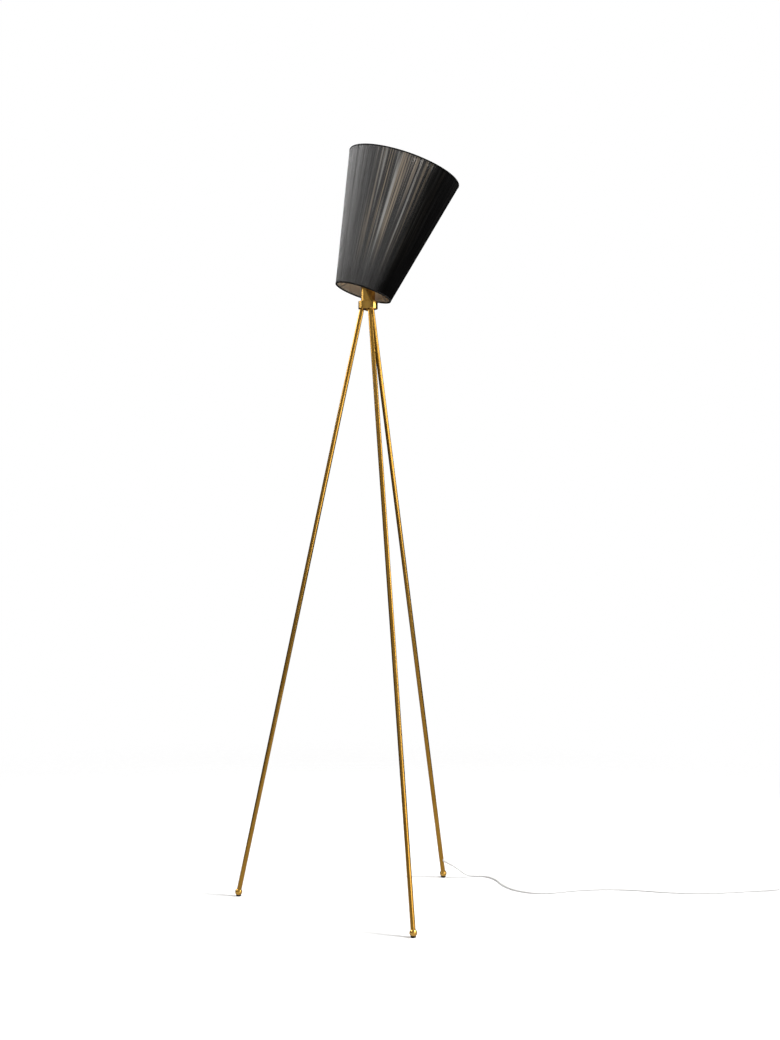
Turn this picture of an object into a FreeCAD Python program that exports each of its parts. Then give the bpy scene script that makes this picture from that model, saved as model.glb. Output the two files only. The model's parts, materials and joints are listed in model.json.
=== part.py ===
"""Tripod floor lamp: three thin brass legs in a round hub, and a thread-wound shade that swivels and tilts.

Millimetres, +Z up. The lamp stands on Z = 0, with the middle of its own box on the Z axis.
Most pieces are turned or bent about the tripod's axis first, and moved to their place at the end.
"""
import FreeCAD, Part
import math
import os

V = FreeCAD.Vector
ORIGIN = V(0, 0, 0)
AXIS_X = V(1, 0, 0)
AXIS_Y = V(0, 1, 0)
AXIS_Z = V(0, 0, 1)

# ---- driving dimensions -------------------------------------------------------------------------

FIT = 0.03             # a snug fit between two pieces that don't move, on the radius
RUNNING = 0.06         # a running fit, on the radius
SEAT = 0.1             # room left between faces of the shade's pivot
PLAY = 0.3             # room between curved pieces on different sides of a joint

# Tripod
FOOT_CIRCLE_R = 247.8  # from the tripod's axis to the middle of each foot ball
FIRST_BEARING = 50.1   # the rear leg's bearing from +X, in degrees
LEGS = ("rear", "left", "front")
LEG_R = 4.5
LEG_WALL = 1.0
LEG_TOP_R = 11.9       # from the tripod's axis to a leg's middle, at the hub's underside
BALL_R = 7.0
BALL_Z = 8.2
BALL_SEAT = 5.0        # from the ball's middle to the flat that the tube stands on
BALL_SPIGOT = 12.0     # how far the ball's spigot reaches into the tube
PAD_R = 4.8
PAD_H = 2.2
PAD_STEM_R = 1.5
PAD_STEM_H = 4.0
PAD_CHAMFER = 0.4

# Hub
HUB_Z = 1128.5         # the hub's underside
HUB_R = 18.4
HUB_PLATE = 7.0        # the solid plate that holds the legs
HUB_H = 15.0           # plate and cover together
HUB_EDGE = 1.0         # rounding of the hub's two outer edges
COVER_TOP = 2.0        # the cover's top wall
COVER_SKIRT = 1.85     # the cover's side wall
NECK_WALL = 0.9        # the ring on the plate that the cover screws over
NECK_H = 4.0
CAP_R = 5.5            # the round plug under the hub
CAP_H = 3.2
CAP_DOME = 2.2         # rounding of its lower edge
CAP_STEM_R = 3.0
CAP_STEM_H = 5.0

# Lampholder on its threaded tube
NIPPLE_R = 5.0
NIPPLE_WALL = 1.5
NIPPLE_BELOW = 3.0     # how far it reaches into the hub, below the cover's top wall
NIPPLE_ABOVE = 7.0
NUT_FLATS = 14.0
NUT_H = 2.8
HOLDER_R = 13.5
BASE_H = 17.0          # the lampholder's lower cup, above the hub
BASE_WALL = 1.2
SLEEVE_WALL = 1.0
SLEEVE_H = 38.0
COLLAR_H = 4.0         # the cup's collar inside the sleeve
CORE_ROOM = 0.2        # between the ceramic core and the sleeve
CORE_LOW_ROOM = 0.8    # between the core's lower part and the cup's collar
INSULATOR_LOW_H = 8.0
INSULATOR_H = 28.0     # above the collar
SOCKET_DEPTH = 26.0
SHELL_ROOM = 0.22      # between the screw shell and the bulb's cap
SHELL_WALL = 0.4
SHELL_H = 22.0
CONTACT_H = 3.0
CONTACT_STRIP = 4.0
TERMINAL_R = 1.5
TERMINAL_L = 5.0

# Bulb
BULB_CAP_R = 6.95
BULB_CAP_H = 22.0
BULB_TIP_H = 2.0
BULB_TIP_R = 3.0
BULB_TIP_END_R = 1.8
GLOBE_R = 22.5
GLOBE_WALL = 0.8
GLOBE_UP = 34.0        # from the cap's top edge to the globe's middle
GLOBE_NECK_OVER = 0.65 # how far the glass neck stands out over the cap
GLOBE_NECK_ANGLE = 40.0
STEM_R = 2.6
STEM_H = 20.0
STEM_FLARE_H = 6.7
FILAMENT_R = 0.7
FILAMENT_H = 26.0
FILAMENT_RING_R = 6.0
FILAMENTS = 4

# Swivel and tilt
PIVOT_UP = 45.0        # from the hub's top to the pivot
CLAMP_WALL = 4.0
CLAMP_H = 5.0
SWIVEL_WALL = 5.0
SWIVEL_H = 5.0
PIN_R = 1.5
PIN_ENTRY = 1.3        # from the lampholder's sleeve to each tilt screw's end
PIN_HEAD_R = 3.0
PIN_HEAD_H = 2.2
PIN_SLOT = 0.7
WASHER_R = 2.6
WASHER_SLACK = 0.5     # what the washer leaves free of the room it stands in

# Shade
SHADE_TILT = 18.24     # from upright, at rest
TILT_BEARING = 12.6    # the way that the shade leans, from +X
SHADE_LOW_R = 55.0
SHADE_TOP_R = 110.0
SHADE_H = 253.0
RIM_BELOW_PIVOT = 31.6
TRIM_T = 0.5
TRIM_H = 2.4
THREAD_T = 0.9
LINING_T = 0.8
RING_WIRE_R = 1.2
ARM_WIRE_R = 1.5
SPIDER_ROOM = 2.5      # between the swivel ring and the spider's hub
SPIDER_WALL = 3.0
SPIDER_H = 8.0
SPIDER_ARMS = 3
FIRST_ARM = 18.0       # the first arm's bearing on the shade, from the way that it leans
ARM_BELOW = 3.6        # from the pivot down to where each arm leaves the hub

# Cord
CORD_R = 2.6
CORD_EXIT_Z = 40.0     # where the cord leaves the rear leg
CORD_DROOP = 30.0      # how far its sleeve points below the horizontal, in degrees
SLEEVE_TIP = 26.0      # from the leg's axis to the sleeve's mouth
SLEEVE_TIP_R = 3.3
SLEEVE_ROOT_R = 4.1
SLEEVE_NECK_R = 3.15
SLEEVE_OVERLAP = 1.0   # how far its neck and its taper reach into each other
LEAD_R = 1.2
CORD_BACK = 3.0        # from the leg's wall to where the cord's end starts inside its sleeve
CORD_FIRST = 14.0      # from the sleeve's mouth to the cord's first bend

SWITCH_X = 905.0
SWITCH_Y = 83.0
SWITCH_L = 62.0
SWITCH_W = 27.0
SWITCH_SPLIT = 8.0     # the height at which its two halves meet, and its cord's middle
SWITCH_H = 20.0
SWITCH_WALL = 1.8
SWITCH_CORNER = 6.0
SWITCH_NECK = 12.0
SWITCH_NECK_R = 5.0
SWITCH_TIP_R = 3.4
SWITCH_BOSS_R = 3.2
SWITCH_SCREW_R = 1.3
SWITCH_SCREW_X = 25.0  # from its middle to each screw
SWITCH_SCREW_LOW = 1.0
SWITCH_SCREW_TOP = 15.0
ROCKER_L = 20.0
ROCKER_W = 11.0
ROCKER_H = 7.5
ROCKER_BELOW = 3.0     # from its pins down to its underside
ROCKER_END_ROOM = 1.0  # room at each end for its swing
ROCKER_HOLLOW_R = 32.0 # the hollow of its two finger faces
ROCKER_HOLLOW_UP = 2.4 # from its pins up to the lowest part of each hollow
ROCKER_TILT = 7.0
ROCKER_PIN_R = 1.2
ROCKER_PIN_Z = 16.5

COIL_X = 1000.0
COIL_Y = 22.0
COIL_MID_R = 31.0
COIL_HALF = 10.4       # four turns lie side by side
COIL_H = 9.7           # and three more in the grooves between them
COIL_LIFT = 0.9        # the tie's strap runs under the turns
TIE_T = 0.7
TIE_W = 6.0
TIE_BEARING = 150.0

PLUG_Y = -14.0
PLUG_Z = 6.85
PLUG_FACE_X = 900.0
PLUG_L = 36.0
PLUG_FACE_W = 26.0
PLUG_WIDE = 35.0
PLUG_BACK_W = 15.6
PLUG_STRAIGHT = 6.0    # from its face to where its sides spread
PLUG_WIDE_AT = 25.2    # from its face to its widest place
PLUG_T = 13.7
PLUG_BOOT = 16.0
PLUG_BOOT_R = 4.8
PLUG_BOOT_END_R = 3.1
PLUG_BOOT_ROOT = 2.0   # how far the boot reaches into the body
PLUG_EDGE = 2.0
PLUG_PIN_R = 2.0
PLUG_PIN_L = 19.0
PLUG_PIN_GAP = 18.6

# ---- what follows from them ---------------------------------------------------------------------

LEAN = math.degrees(math.atan2(FOOT_CIRCLE_R - LEG_TOP_R, HUB_Z - BALL_Z))
LEG_REACH = math.hypot(FOOT_CIRCLE_R - LEG_TOP_R, HUB_Z - BALL_Z)
LEG_BORE_R = LEG_R - LEG_WALL
BEARINGS = {name: FIRST_BEARING + 360.0 / len(LEGS) * step for step, name in enumerate(LEGS)}
CHAMBER_Z = HUB_Z + HUB_PLATE
HUB_TOP = HUB_Z + HUB_H
COVER_Z = HUB_TOP - COVER_TOP
COVER_BORE_R = HUB_R - COVER_SKIRT
NECK_R = COVER_BORE_R - FIT
BASE_TOP = HUB_TOP + BASE_H
COLLAR_TOP = BASE_TOP + COLLAR_H
SLEEVE_BORE_R = HOLDER_R - SLEEVE_WALL
COLLAR_R = SLEEVE_BORE_R - FIT
NIPPLE_BORE_R = NIPPLE_R - NIPPLE_WALL
INSULATOR_R = SLEEVE_BORE_R - CORE_ROOM
INSULATOR_LOW_R = COLLAR_R - BASE_WALL - CORE_LOW_ROOM
INSULATOR_TOP = COLLAR_TOP + INSULATOR_H
SHELL_R = BULB_CAP_R + SHELL_ROOM + SHELL_WALL
SOCKET_R = SHELL_R + FIT
SOCKET_Z = INSULATOR_TOP - SOCKET_DEPTH
CAP_EDGE_Z = SOCKET_Z + CONTACT_H + BULB_TIP_H + BULB_CAP_H
GLOBE_Z = CAP_EDGE_Z + GLOBE_UP
GLOBE_NECK_R = BULB_CAP_R + GLOBE_NECK_OVER
PIVOT_Z = HUB_TOP + PIVOT_UP
CLAMP_R = HOLDER_R + CLAMP_WALL
SWIVEL_R = HOLDER_R + SWIVEL_WALL
PIN_INNER_R = HOLDER_R + PIN_ENTRY
SPIDER_INNER_R = SWIVEL_R + SPIDER_ROOM
SPIDER_OUTER_R = SPIDER_INNER_R + SPIDER_WALL
WASHER_H = SPIDER_ROOM - WASHER_SLACK
RIM_Z = -RIM_BELOW_PIVOT
RIM_TOP_Z = SHADE_H - RIM_BELOW_PIVOT
FLARE = (SHADE_TOP_R - SHADE_LOW_R) / SHADE_H
THREAD_R = SHADE_LOW_R - TRIM_T
LINING_R = THREAD_R - THREAD_T
INSIDE_R = LINING_R - LINING_T
EXIT_REACH = FOOT_CIRCLE_R - (CORD_EXIT_Z - BALL_Z) * math.tan(math.radians(LEAN))


def lean_direction():
    """The way that the shade's axis points."""
    side = math.sin(math.radians(SHADE_TILT))
    bearing = math.radians(TILT_BEARING)
    return V(side * math.cos(bearing), side * math.sin(bearing), math.cos(math.radians(SHADE_TILT)))


def box_middle():
    """The middle of the lamp's own box, seen from above, from its feet and its shade's top rim.

    A circle of radius r whose axis is n reaches r * sqrt(1 - n.x * n.x) along X.
    """
    lean = lean_direction()
    middles = []
    for part_of, turn in (("x", math.cos), ("y", math.sin)):
        feet = [FOOT_CIRCLE_R * turn(math.radians(bearing)) for bearing in BEARINGS.values()]
        along = getattr(lean, part_of)
        rim = SHADE_TOP_R * math.sqrt(1.0 - along * along)
        high = max(max(feet) + BALL_R, RIM_TOP_Z * along + rim)
        low = min(min(feet) - BALL_R, RIM_TOP_Z * along - rim)
        middles.append((high + low) / 2.0)
    return V(middles[0], middles[1], 0)


TO_FRAME = ORIGIN - box_middle()


# ---- small helpers ------------------------------------------------------------------------------

def rod(radius, low, high, hole=0.0):
    """An upright rod or tube about the Z axis, from one height to another."""
    body = Part.makeCylinder(radius, high - low, V(0, 0, low))
    if hole:
        body = body.cut(Part.makeCylinder(hole, high - low, V(0, 0, low)))
    return body


def turned(outline):
    """A piece turned on the lathe from a closed outline of (radius, height) points."""
    points = [V(radius, 0, height) for radius, height in outline]
    face = Part.Face(Part.makePolygon(points + points[:1]))
    return face.revolve(ORIGIN, AXIS_Z, 360)


def hexagon(flats, low, high, hole):
    """A six-sided nut about the Z axis."""
    corner = flats / 2.0 / math.cos(math.radians(30))
    points = [V(corner * math.cos(math.radians(60 * k)), corner * math.sin(math.radians(60 * k)), low)
              for k in range(7)]
    body = Part.Face(Part.makePolygon(points)).extrude(V(0, 0, high - low))
    return body.cut(Part.makeCylinder(hole, high - low, V(0, 0, low)))


def edges_at(body, radius, height):
    """The round edges of a turned piece at this radius and height."""
    return [edge for edge in body.Edges
            if isinstance(edge.Curve, Part.Circle)
            and abs(edge.Curve.Radius - radius) < 0.01
            and abs(edge.Curve.Center.z - height) < 0.01]


def softened(body, rounding, radius, height):
    """The piece with its round edge at this place rounded over."""
    return body.makeFillet(rounding, edges_at(body, radius, height))


def upright_edges(body):
    """The edges of a box that run along Z."""
    return [edge for edge in body.Edges
            if isinstance(edge.Curve, Part.Line) and abs(edge.tangentAt(edge.FirstParameter).z) > 0.99]


def turned_to(body, *turns):
    """A copy of the piece turned about the origin, by one (axis, degrees) after another."""
    moved = body.copy()
    for axis, degrees in turns:
        moved.rotate(ORIGIN, axis, degrees)
    return moved


def shifted(body, offset):
    """A copy of the piece moved by a vector."""
    moved = body.copy()
    moved.translate(offset)
    return moved


def on_leg(body, bearing):
    """Move a piece made along +Z from the foot ball's middle to the leg at this bearing."""
    stood = shifted(turned_to(body, (AXIS_Y, -LEAN)), V(FOOT_CIRCLE_R, 0, BALL_Z))
    return turned_to(stood, (AXIS_Z, bearing))


def on_foot(body, bearing):
    """Move an upright piece made about the Z axis to under the foot ball at this bearing."""
    return turned_to(shifted(body, V(FOOT_CIRCLE_R, 0, 0)), (AXIS_Z, bearing))


def on_swivel(body):
    """Move a piece made about the pivot, with the tilt pins along Y, to the swivel ring's place."""
    return shifted(turned_to(body, (AXIS_Z, TILT_BEARING)), V(0, 0, PIVOT_Z))


def on_shade(body):
    """Move a piece made about the pivot, with the shade upright, to the shade's place at rest."""
    tilted = turned_to(body, (AXIS_Y, SHADE_TILT), (AXIS_Z, TILT_BEARING))
    return shifted(tilted, V(0, 0, PIVOT_Z))


def write(name, *bodies):
    """Write one sub-part, moved from the tripod's axis into the lamp's frame."""
    placed = [shifted(body, TO_FRAME) for body in bodies]
    shape = placed[0] if len(placed) == 1 else Part.makeCompound(placed)
    shape.exportStep("parts/" + name + ".step")


# ---- tripod -------------------------------------------------------------------------------------

def cord_mouth_direction():
    """The way that the cord's sleeve points: to +X, and down by its droop."""
    droop = math.radians(CORD_DROOP)
    return V(math.cos(droop), 0, -math.sin(droop))


def cord_root():
    """The point on the rear leg's axis where the cord comes out."""
    bearing = math.radians(BEARINGS["rear"])
    return V(EXIT_REACH * math.cos(bearing), EXIT_REACH * math.sin(bearing), CORD_EXIT_Z)


def leg_tube(bearing):
    """A straight tube from the foot ball's flat to the top face of the hub's plate."""
    return on_leg(rod(LEG_R, BALL_SEAT, LEG_REACH + HUB_PLATE, LEG_BORE_R), bearing)


def exit_hole():
    """The hole in the rear leg's wall that the cord's sleeve sits in."""
    length = LEG_R * 2.0
    return Part.makeCylinder(SLEEVE_NECK_R + FIT, length, cord_root(), cord_mouth_direction())


def foot_ball(bearing):
    """A brass ball with a flat and a spigot for its tube, and a flat and a hole for its rubber pad."""
    ball = Part.makeSphere(BALL_R)
    ball = ball.common(Part.makeCylinder(BALL_R, BALL_R + BALL_SEAT, V(0, 0, -BALL_R)))
    spigot = rod(LEG_BORE_R - FIT, 0, BALL_SEAT + BALL_SPIGOT)
    body = on_leg(ball.fuse(spigot).removeSplitter(), bearing)
    hole = rod(PAD_STEM_R + FIT, 0, PAD_H + PAD_STEM_H)
    return body.cut(on_foot(rod(2 * BALL_R, 0, PAD_H), bearing)).cut(on_foot(hole, bearing))


def foot_pad(bearing):
    """A rubber disc under the ball, with a stem pressed into it."""
    disc = rod(PAD_R, 0, PAD_H)
    disc = disc.makeChamfer(PAD_CHAMFER, edges_at(disc, PAD_R, 0))
    stem = rod(PAD_STEM_R, 0, PAD_H + PAD_STEM_H)
    return on_foot(disc.fuse(stem).removeSplitter(), bearing)


def hub_body():
    """The plate that the three tubes stand in, and the ring on it that the cover screws over."""
    plate = softened(rod(HUB_R, HUB_Z, CHAMBER_Z), HUB_EDGE, HUB_R, HUB_Z)
    body = plate.fuse(rod(NECK_R, CHAMBER_Z, CHAMBER_Z + NECK_H, NECK_R - NECK_WALL)).removeSplitter()
    for bearing in BEARINGS.values():
        socket = rod(LEG_R + FIT, LEG_REACH - HUB_H, LEG_REACH + HUB_H)
        body = body.cut(on_leg(socket, bearing))
    return body.cut(rod(CAP_STEM_R + FIT, HUB_Z, HUB_Z + CAP_STEM_H))


def hub_cover():
    """The cup that closes the hub and carries the lampholder's threaded tube."""
    cup = rod(HUB_R, CHAMBER_Z, HUB_TOP).cut(rod(COVER_BORE_R, CHAMBER_Z, COVER_Z))
    cup = softened(cup, HUB_EDGE, HUB_R, HUB_TOP)
    return cup.cut(rod(NIPPLE_R + FIT, COVER_Z, HUB_TOP))


def hub_cap():
    """The domed plug under the hub."""
    button = rod(CAP_R, HUB_Z - CAP_H, HUB_Z)
    button = softened(button, CAP_DOME, CAP_R, HUB_Z - CAP_H)
    return button.fuse(rod(CAP_STEM_R, HUB_Z, HUB_Z + CAP_STEM_H)).removeSplitter()


# ---- lampholder and bulb ------------------------------------------------------------------------

def holder_base():
    """The brass cup on top of the hub, with the collar that the sleeve screws over."""
    cup = rod(HOLDER_R, HUB_TOP, BASE_TOP).cut(rod(HOLDER_R - BASE_WALL, HUB_TOP + BASE_WALL, BASE_TOP))
    collar = rod(COLLAR_R, BASE_TOP - BASE_WALL, COLLAR_TOP, COLLAR_R - BASE_WALL)
    return cup.fuse(collar).removeSplitter().cut(rod(NIPPLE_R + FIT, HUB_TOP, HUB_TOP + BASE_WALL))


def insulator():
    """The lampholder's ceramic core, which stands on the collar and holds the screw shell."""
    core = rod(INSULATOR_R, COLLAR_TOP, INSULATOR_TOP)
    core = core.fuse(rod(INSULATOR_LOW_R, COLLAR_TOP - INSULATOR_LOW_H, COLLAR_TOP)).removeSplitter()
    core = core.cut(rod(SOCKET_R, SOCKET_Z, INSULATOR_TOP))
    for screw in terminal_screws(FIT):
        core = core.cut(screw)
    return core


def terminal_screws(room=0.0):
    """The two screws that the wires end under, across the core's lower part."""
    height = COLLAR_TOP - INSULATOR_LOW_H / 2.0
    start = INSULATOR_LOW_R - TERMINAL_L
    screws = []
    for side in (1, -1):
        where = V(side * start, 0, height)
        screws.append(Part.makeCylinder(TERMINAL_R + room, TERMINAL_L, where, AXIS_X * side))
    return screws


def thread_shell():
    """The screw shell that the bulb's cap sits in."""
    return rod(SHELL_R, INSULATOR_TOP - SHELL_H, INSULATOR_TOP, SHELL_R - SHELL_WALL)


def centre_contact():
    """The sprung strip under the bulb, folded from sheet."""
    half = CONTACT_STRIP
    thick = SHELL_WALL
    outline = [(-half, 0), (half, 0), (half, thick), (-half + 2 * thick, thick),
               (thick, CONTACT_H - SEAT), (-thick, CONTACT_H - SEAT), (-half, thick)]
    points = [V(x, -CONTACT_STRIP / 2.0, SOCKET_Z + z) for x, z in outline]
    return Part.Face(Part.makePolygon(points + points[:1])).extrude(V(0, CONTACT_STRIP, 0))


def nipple_nuts():
    """The two nuts that clamp the hub's cover and the lampholder's cup on the threaded tube."""
    hole = NIPPLE_R + FIT
    below = hexagon(NUT_FLATS, COVER_Z - NUT_H, COVER_Z, hole)
    above = hexagon(NUT_FLATS, HUB_TOP + BASE_WALL, HUB_TOP + BASE_WALL + NUT_H, hole)
    return below, above


def bulb_cap():
    """The bulb's screw cap, a thin cup."""
    low = CAP_EDGE_Z - BULB_CAP_H
    return rod(BULB_CAP_R, low, CAP_EDGE_Z).cut(rod(BULB_CAP_R - SHELL_WALL, low + SHELL_WALL, CAP_EDGE_Z))


def bulb_tip():
    """The bulb's insulated end contact."""
    low = CAP_EDGE_Z - BULB_CAP_H
    return Part.makeCone(BULB_TIP_END_R, BULB_TIP_R, BULB_TIP_H, V(0, 0, low - BULB_TIP_H))


def globe_outline(inset):
    """The wire round one side of the bulb's glass: its neck, its side, and its crown."""
    radius = GLOBE_R - inset
    angle = math.radians(GLOBE_NECK_ANGLE)
    centre = V(0, 0, GLOBE_Z)
    shoulder = centre + V(radius * math.sin(angle), 0, -radius * math.cos(angle))
    neck = V(GLOBE_NECK_R - inset, 0, CAP_EDGE_Z + SEAT)
    side = centre + V(radius, 0, 0)
    crown = centre + V(0, 0, radius)
    foot = V(0, 0, CAP_EDGE_Z + SEAT)
    edges = [Part.LineSegment(foot, neck), Part.LineSegment(neck, shoulder),
             Part.Arc(shoulder, side, crown), Part.LineSegment(crown, foot)]
    return Part.Wire([edge.toShape() for edge in edges])


def bulb_glass():
    """The bulb's clear globe."""
    outer = Part.Face(globe_outline(0.0)).revolve(ORIGIN, AXIS_Z, 360)
    return outer.cut(Part.Face(globe_outline(GLOBE_WALL)).revolve(ORIGIN, AXIS_Z, 360))


def bulb_stem():
    """The glass stem that carries the filaments, flared where it meets the cap."""
    low = CAP_EDGE_Z + SEAT
    flare = Part.makeCone(GLOBE_NECK_R - GLOBE_WALL - SEAT, STEM_R, STEM_FLARE_H, V(0, 0, low))
    return flare.fuse(rod(STEM_R, low, low + STEM_H)).removeSplitter()


def filaments():
    """The light strips round the stem, each reaching up from the stem's height."""
    low = CAP_EDGE_Z + STEM_H - STEM_R
    strips = []
    for k in range(FILAMENTS):
        strip = shifted(rod(FILAMENT_R, low, low + FILAMENT_H), V(FILAMENT_RING_R, 0, 0))
        foot = Part.makeCylinder(FILAMENT_R, FILAMENT_RING_R - STEM_R, V(STEM_R, 0, low + FILAMENT_R), AXIS_X)
        foot = foot.cut(rod(STEM_R, low, low + STEM_H))
        strips.append(turned_to(strip.fuse(foot).removeSplitter(), (AXIS_Z, 360.0 / FILAMENTS * k)))
    return strips


# ---- swivel and shade ---------------------------------------------------------------------------

def clamp_ring(low):
    """A ring screwed on the lampholder's sleeve, under or over the swivel ring."""
    return rod(CLAMP_R, low, low + CLAMP_H, HOLDER_R + FIT)


def swivel_ring():
    """The ring that turns on the lampholder's sleeve and carries the two tilt screws."""
    half = SWIVEL_H / 2.0
    ring = rod(SWIVEL_R, -half, half, HOLDER_R + RUNNING)
    for side in (1, -1):
        hole = Part.makeCylinder(PIN_R + FIT, SWIVEL_R, V(0, side * PIN_INNER_R, 0), AXIS_Y * side)
        ring = ring.cut(hole)
    return on_swivel(ring)


def tilt_screws():
    """The two shouldered screws that the shade tips on, through its spider's hub."""
    screws = []
    head_at = SPIDER_OUTER_R + SEAT
    for side in (1, -1):
        shank = Part.makeCylinder(PIN_R, head_at - PIN_INNER_R, V(0, side * PIN_INNER_R, 0), AXIS_Y * side)
        head = Part.makeCylinder(PIN_HEAD_R, PIN_HEAD_H, V(0, side * head_at, 0), AXIS_Y * side)
        slot_y = side * (head_at + PIN_HEAD_H - PIN_SLOT / 2.0)
        slot = Part.makeBox(2 * PIN_HEAD_R, PIN_SLOT, PIN_SLOT,
                            V(-PIN_HEAD_R, slot_y - PIN_SLOT / 2.0, -PIN_SLOT / 2.0))
        screws.append(on_swivel(shank.fuse(head).cut(slot).removeSplitter()))
    return screws


def tilt_washers():
    """The friction washers between the swivel ring and the spider's hub."""
    washers = []
    for side in (1, -1):
        start = V(0, side * (SWIVEL_R + SEAT), 0)
        washer = Part.makeCylinder(WASHER_R, WASHER_H, start, AXIS_Y * side)
        hole = Part.makeCylinder(PIN_R + FIT, WASHER_H, start, AXIS_Y * side)
        washers.append(on_swivel(washer.cut(hole)))
    return washers


def upright_spider_hub():
    """The ring of the shade's spider, with the two holes it tips on."""
    half = SPIDER_H / 2.0
    ring = rod(SPIDER_OUTER_R, -half, half, SPIDER_INNER_R)
    hole = Part.makeCylinder(PIN_R + RUNNING, 4 * SPIDER_OUTER_R, V(0, -2 * SPIDER_OUTER_R, 0), AXIS_Y)
    return ring.cut(hole)


def shade_radius(at_rim, height):
    """The radius of one of the shade's cones at this height, from its radius at the lower rim."""
    return at_rim + (height - RIM_Z) * FLARE


def wire_ring_place(height):
    """The radius of a wire ring that lies against the lining at this height."""
    return shade_radius(INSIDE_R, height) - RING_WIRE_R * math.hypot(1.0, FLARE) - SEAT / 2.0


LOW_WIRE_Z = RIM_Z + TRIM_H + RING_WIRE_R
TOP_WIRE_Z = RIM_TOP_Z - TRIM_H - RING_WIRE_R


def upright_wire_ring(height):
    """A round wire bent to a ring inside the shade."""
    return Part.makeTorus(wire_ring_place(height), RING_WIRE_R, V(0, 0, height))


def spider_arms():
    """The wires from the spider's hub down to the shade's lower ring."""
    inner = V(SPIDER_INNER_R + ARM_WIRE_R / 2.0, 0, -ARM_BELOW)
    outer = V(wire_ring_place(LOW_WIRE_Z), 0, LOW_WIRE_Z)
    run = outer - inner
    arm = Part.makeCylinder(ARM_WIRE_R, run.Length, inner, run)
    arm = arm.cut(upright_spider_hub()).cut(upright_wire_ring(LOW_WIRE_Z))
    arm = max(arm.Solids, key=lambda solid: solid.Volume)
    bearings = [FIRST_ARM + 360.0 / SPIDER_ARMS * k for k in range(SPIDER_ARMS)]
    return [on_shade(turned_to(arm, (AXIS_Z, bearing))) for bearing in bearings]


def cone_shell(outer_at_rim, thickness):
    """A thin open cone from the lower rim to the upper, less the room that the trim takes."""
    low = RIM_Z + TRIM_T
    high = RIM_TOP_Z - TRIM_T
    outer = outer_at_rim - FIT / 2.0
    inner = outer_at_rim - thickness + FIT / 2.0
    return on_shade(turned([
        (shade_radius(outer, low), low),
        (shade_radius(outer, high), high),
        (shade_radius(inner, high), high),
        (shade_radius(inner, low), low)]))


def rim_trim(edge, inward):
    """A folded tape over one rim: its edge, and the side on which the shade lies (1 above, -1 below)."""
    fold = edge + inward * TRIM_T
    end = edge + inward * TRIM_H
    outer = SHADE_LOW_R
    outer_wall = THREAD_R + FIT / 2.0
    inner_wall = INSIDE_R - FIT / 2.0
    inner = INSIDE_R - TRIM_T
    return on_shade(turned([
        (shade_radius(outer, edge), edge),
        (shade_radius(outer, end), end),
        (shade_radius(outer_wall, end), end),
        (shade_radius(outer_wall, fold), fold),
        (shade_radius(inner_wall, fold), fold),
        (shade_radius(inner_wall, end), end),
        (shade_radius(inner, end), end),
        (shade_radius(inner, edge), edge)]))


# ---- cord ---------------------------------------------------------------------------------------

def rounded_path(points):
    """A wire of straight runs joined by tangent arcs, and the arcs' radii.

    Each arc uses 0.45 of the shorter run beside its corner, so its radius is that length divided
    by the tangent of half the turn.
    """
    share = 0.45
    edges = []
    radii = []
    start = points[0]
    for before, corner, after in zip(points, points[1:], points[2:]):
        back = (before - corner).normalize()
        ahead = (after - corner).normalize()
        reach = share * min((before - corner).Length, (after - corner).Length)
        half_turn = (math.pi - back.getAngle(ahead)) / 2.0
        radius = reach / math.tan(half_turn)
        bisector = (back + ahead).normalize()
        arc_start = corner + back * reach
        arc_end = corner + ahead * reach
        arc_top = corner + bisector * (radius / math.cos(half_turn) - radius)
        edges.append(Part.LineSegment(start, arc_start).toShape())
        edges.append(Part.Arc(arc_start, arc_top, arc_end).toShape())
        radii.append(radius)
        start = arc_end
    edges.append(Part.LineSegment(start, points[-1]).toShape())
    return Part.Wire(edges), radii


def tube_along(name, radius, points):
    """A round cord along a route, with its radii and its volume printed."""
    path, radii = rounded_path(points)
    profile = Part.Wire([Part.Circle(points[0], points[1] - points[0], radius).toShape()])
    body = path.makePipeShell([profile], True, False)
    expected = math.pi * radius * radius * path.Length
    print(name, "length", round(path.Length, 1), "volume / section x length",
          round(body.Volume / expected, 4))
    print("  radii", [round(value, 1) for value in radii])
    return body


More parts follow.
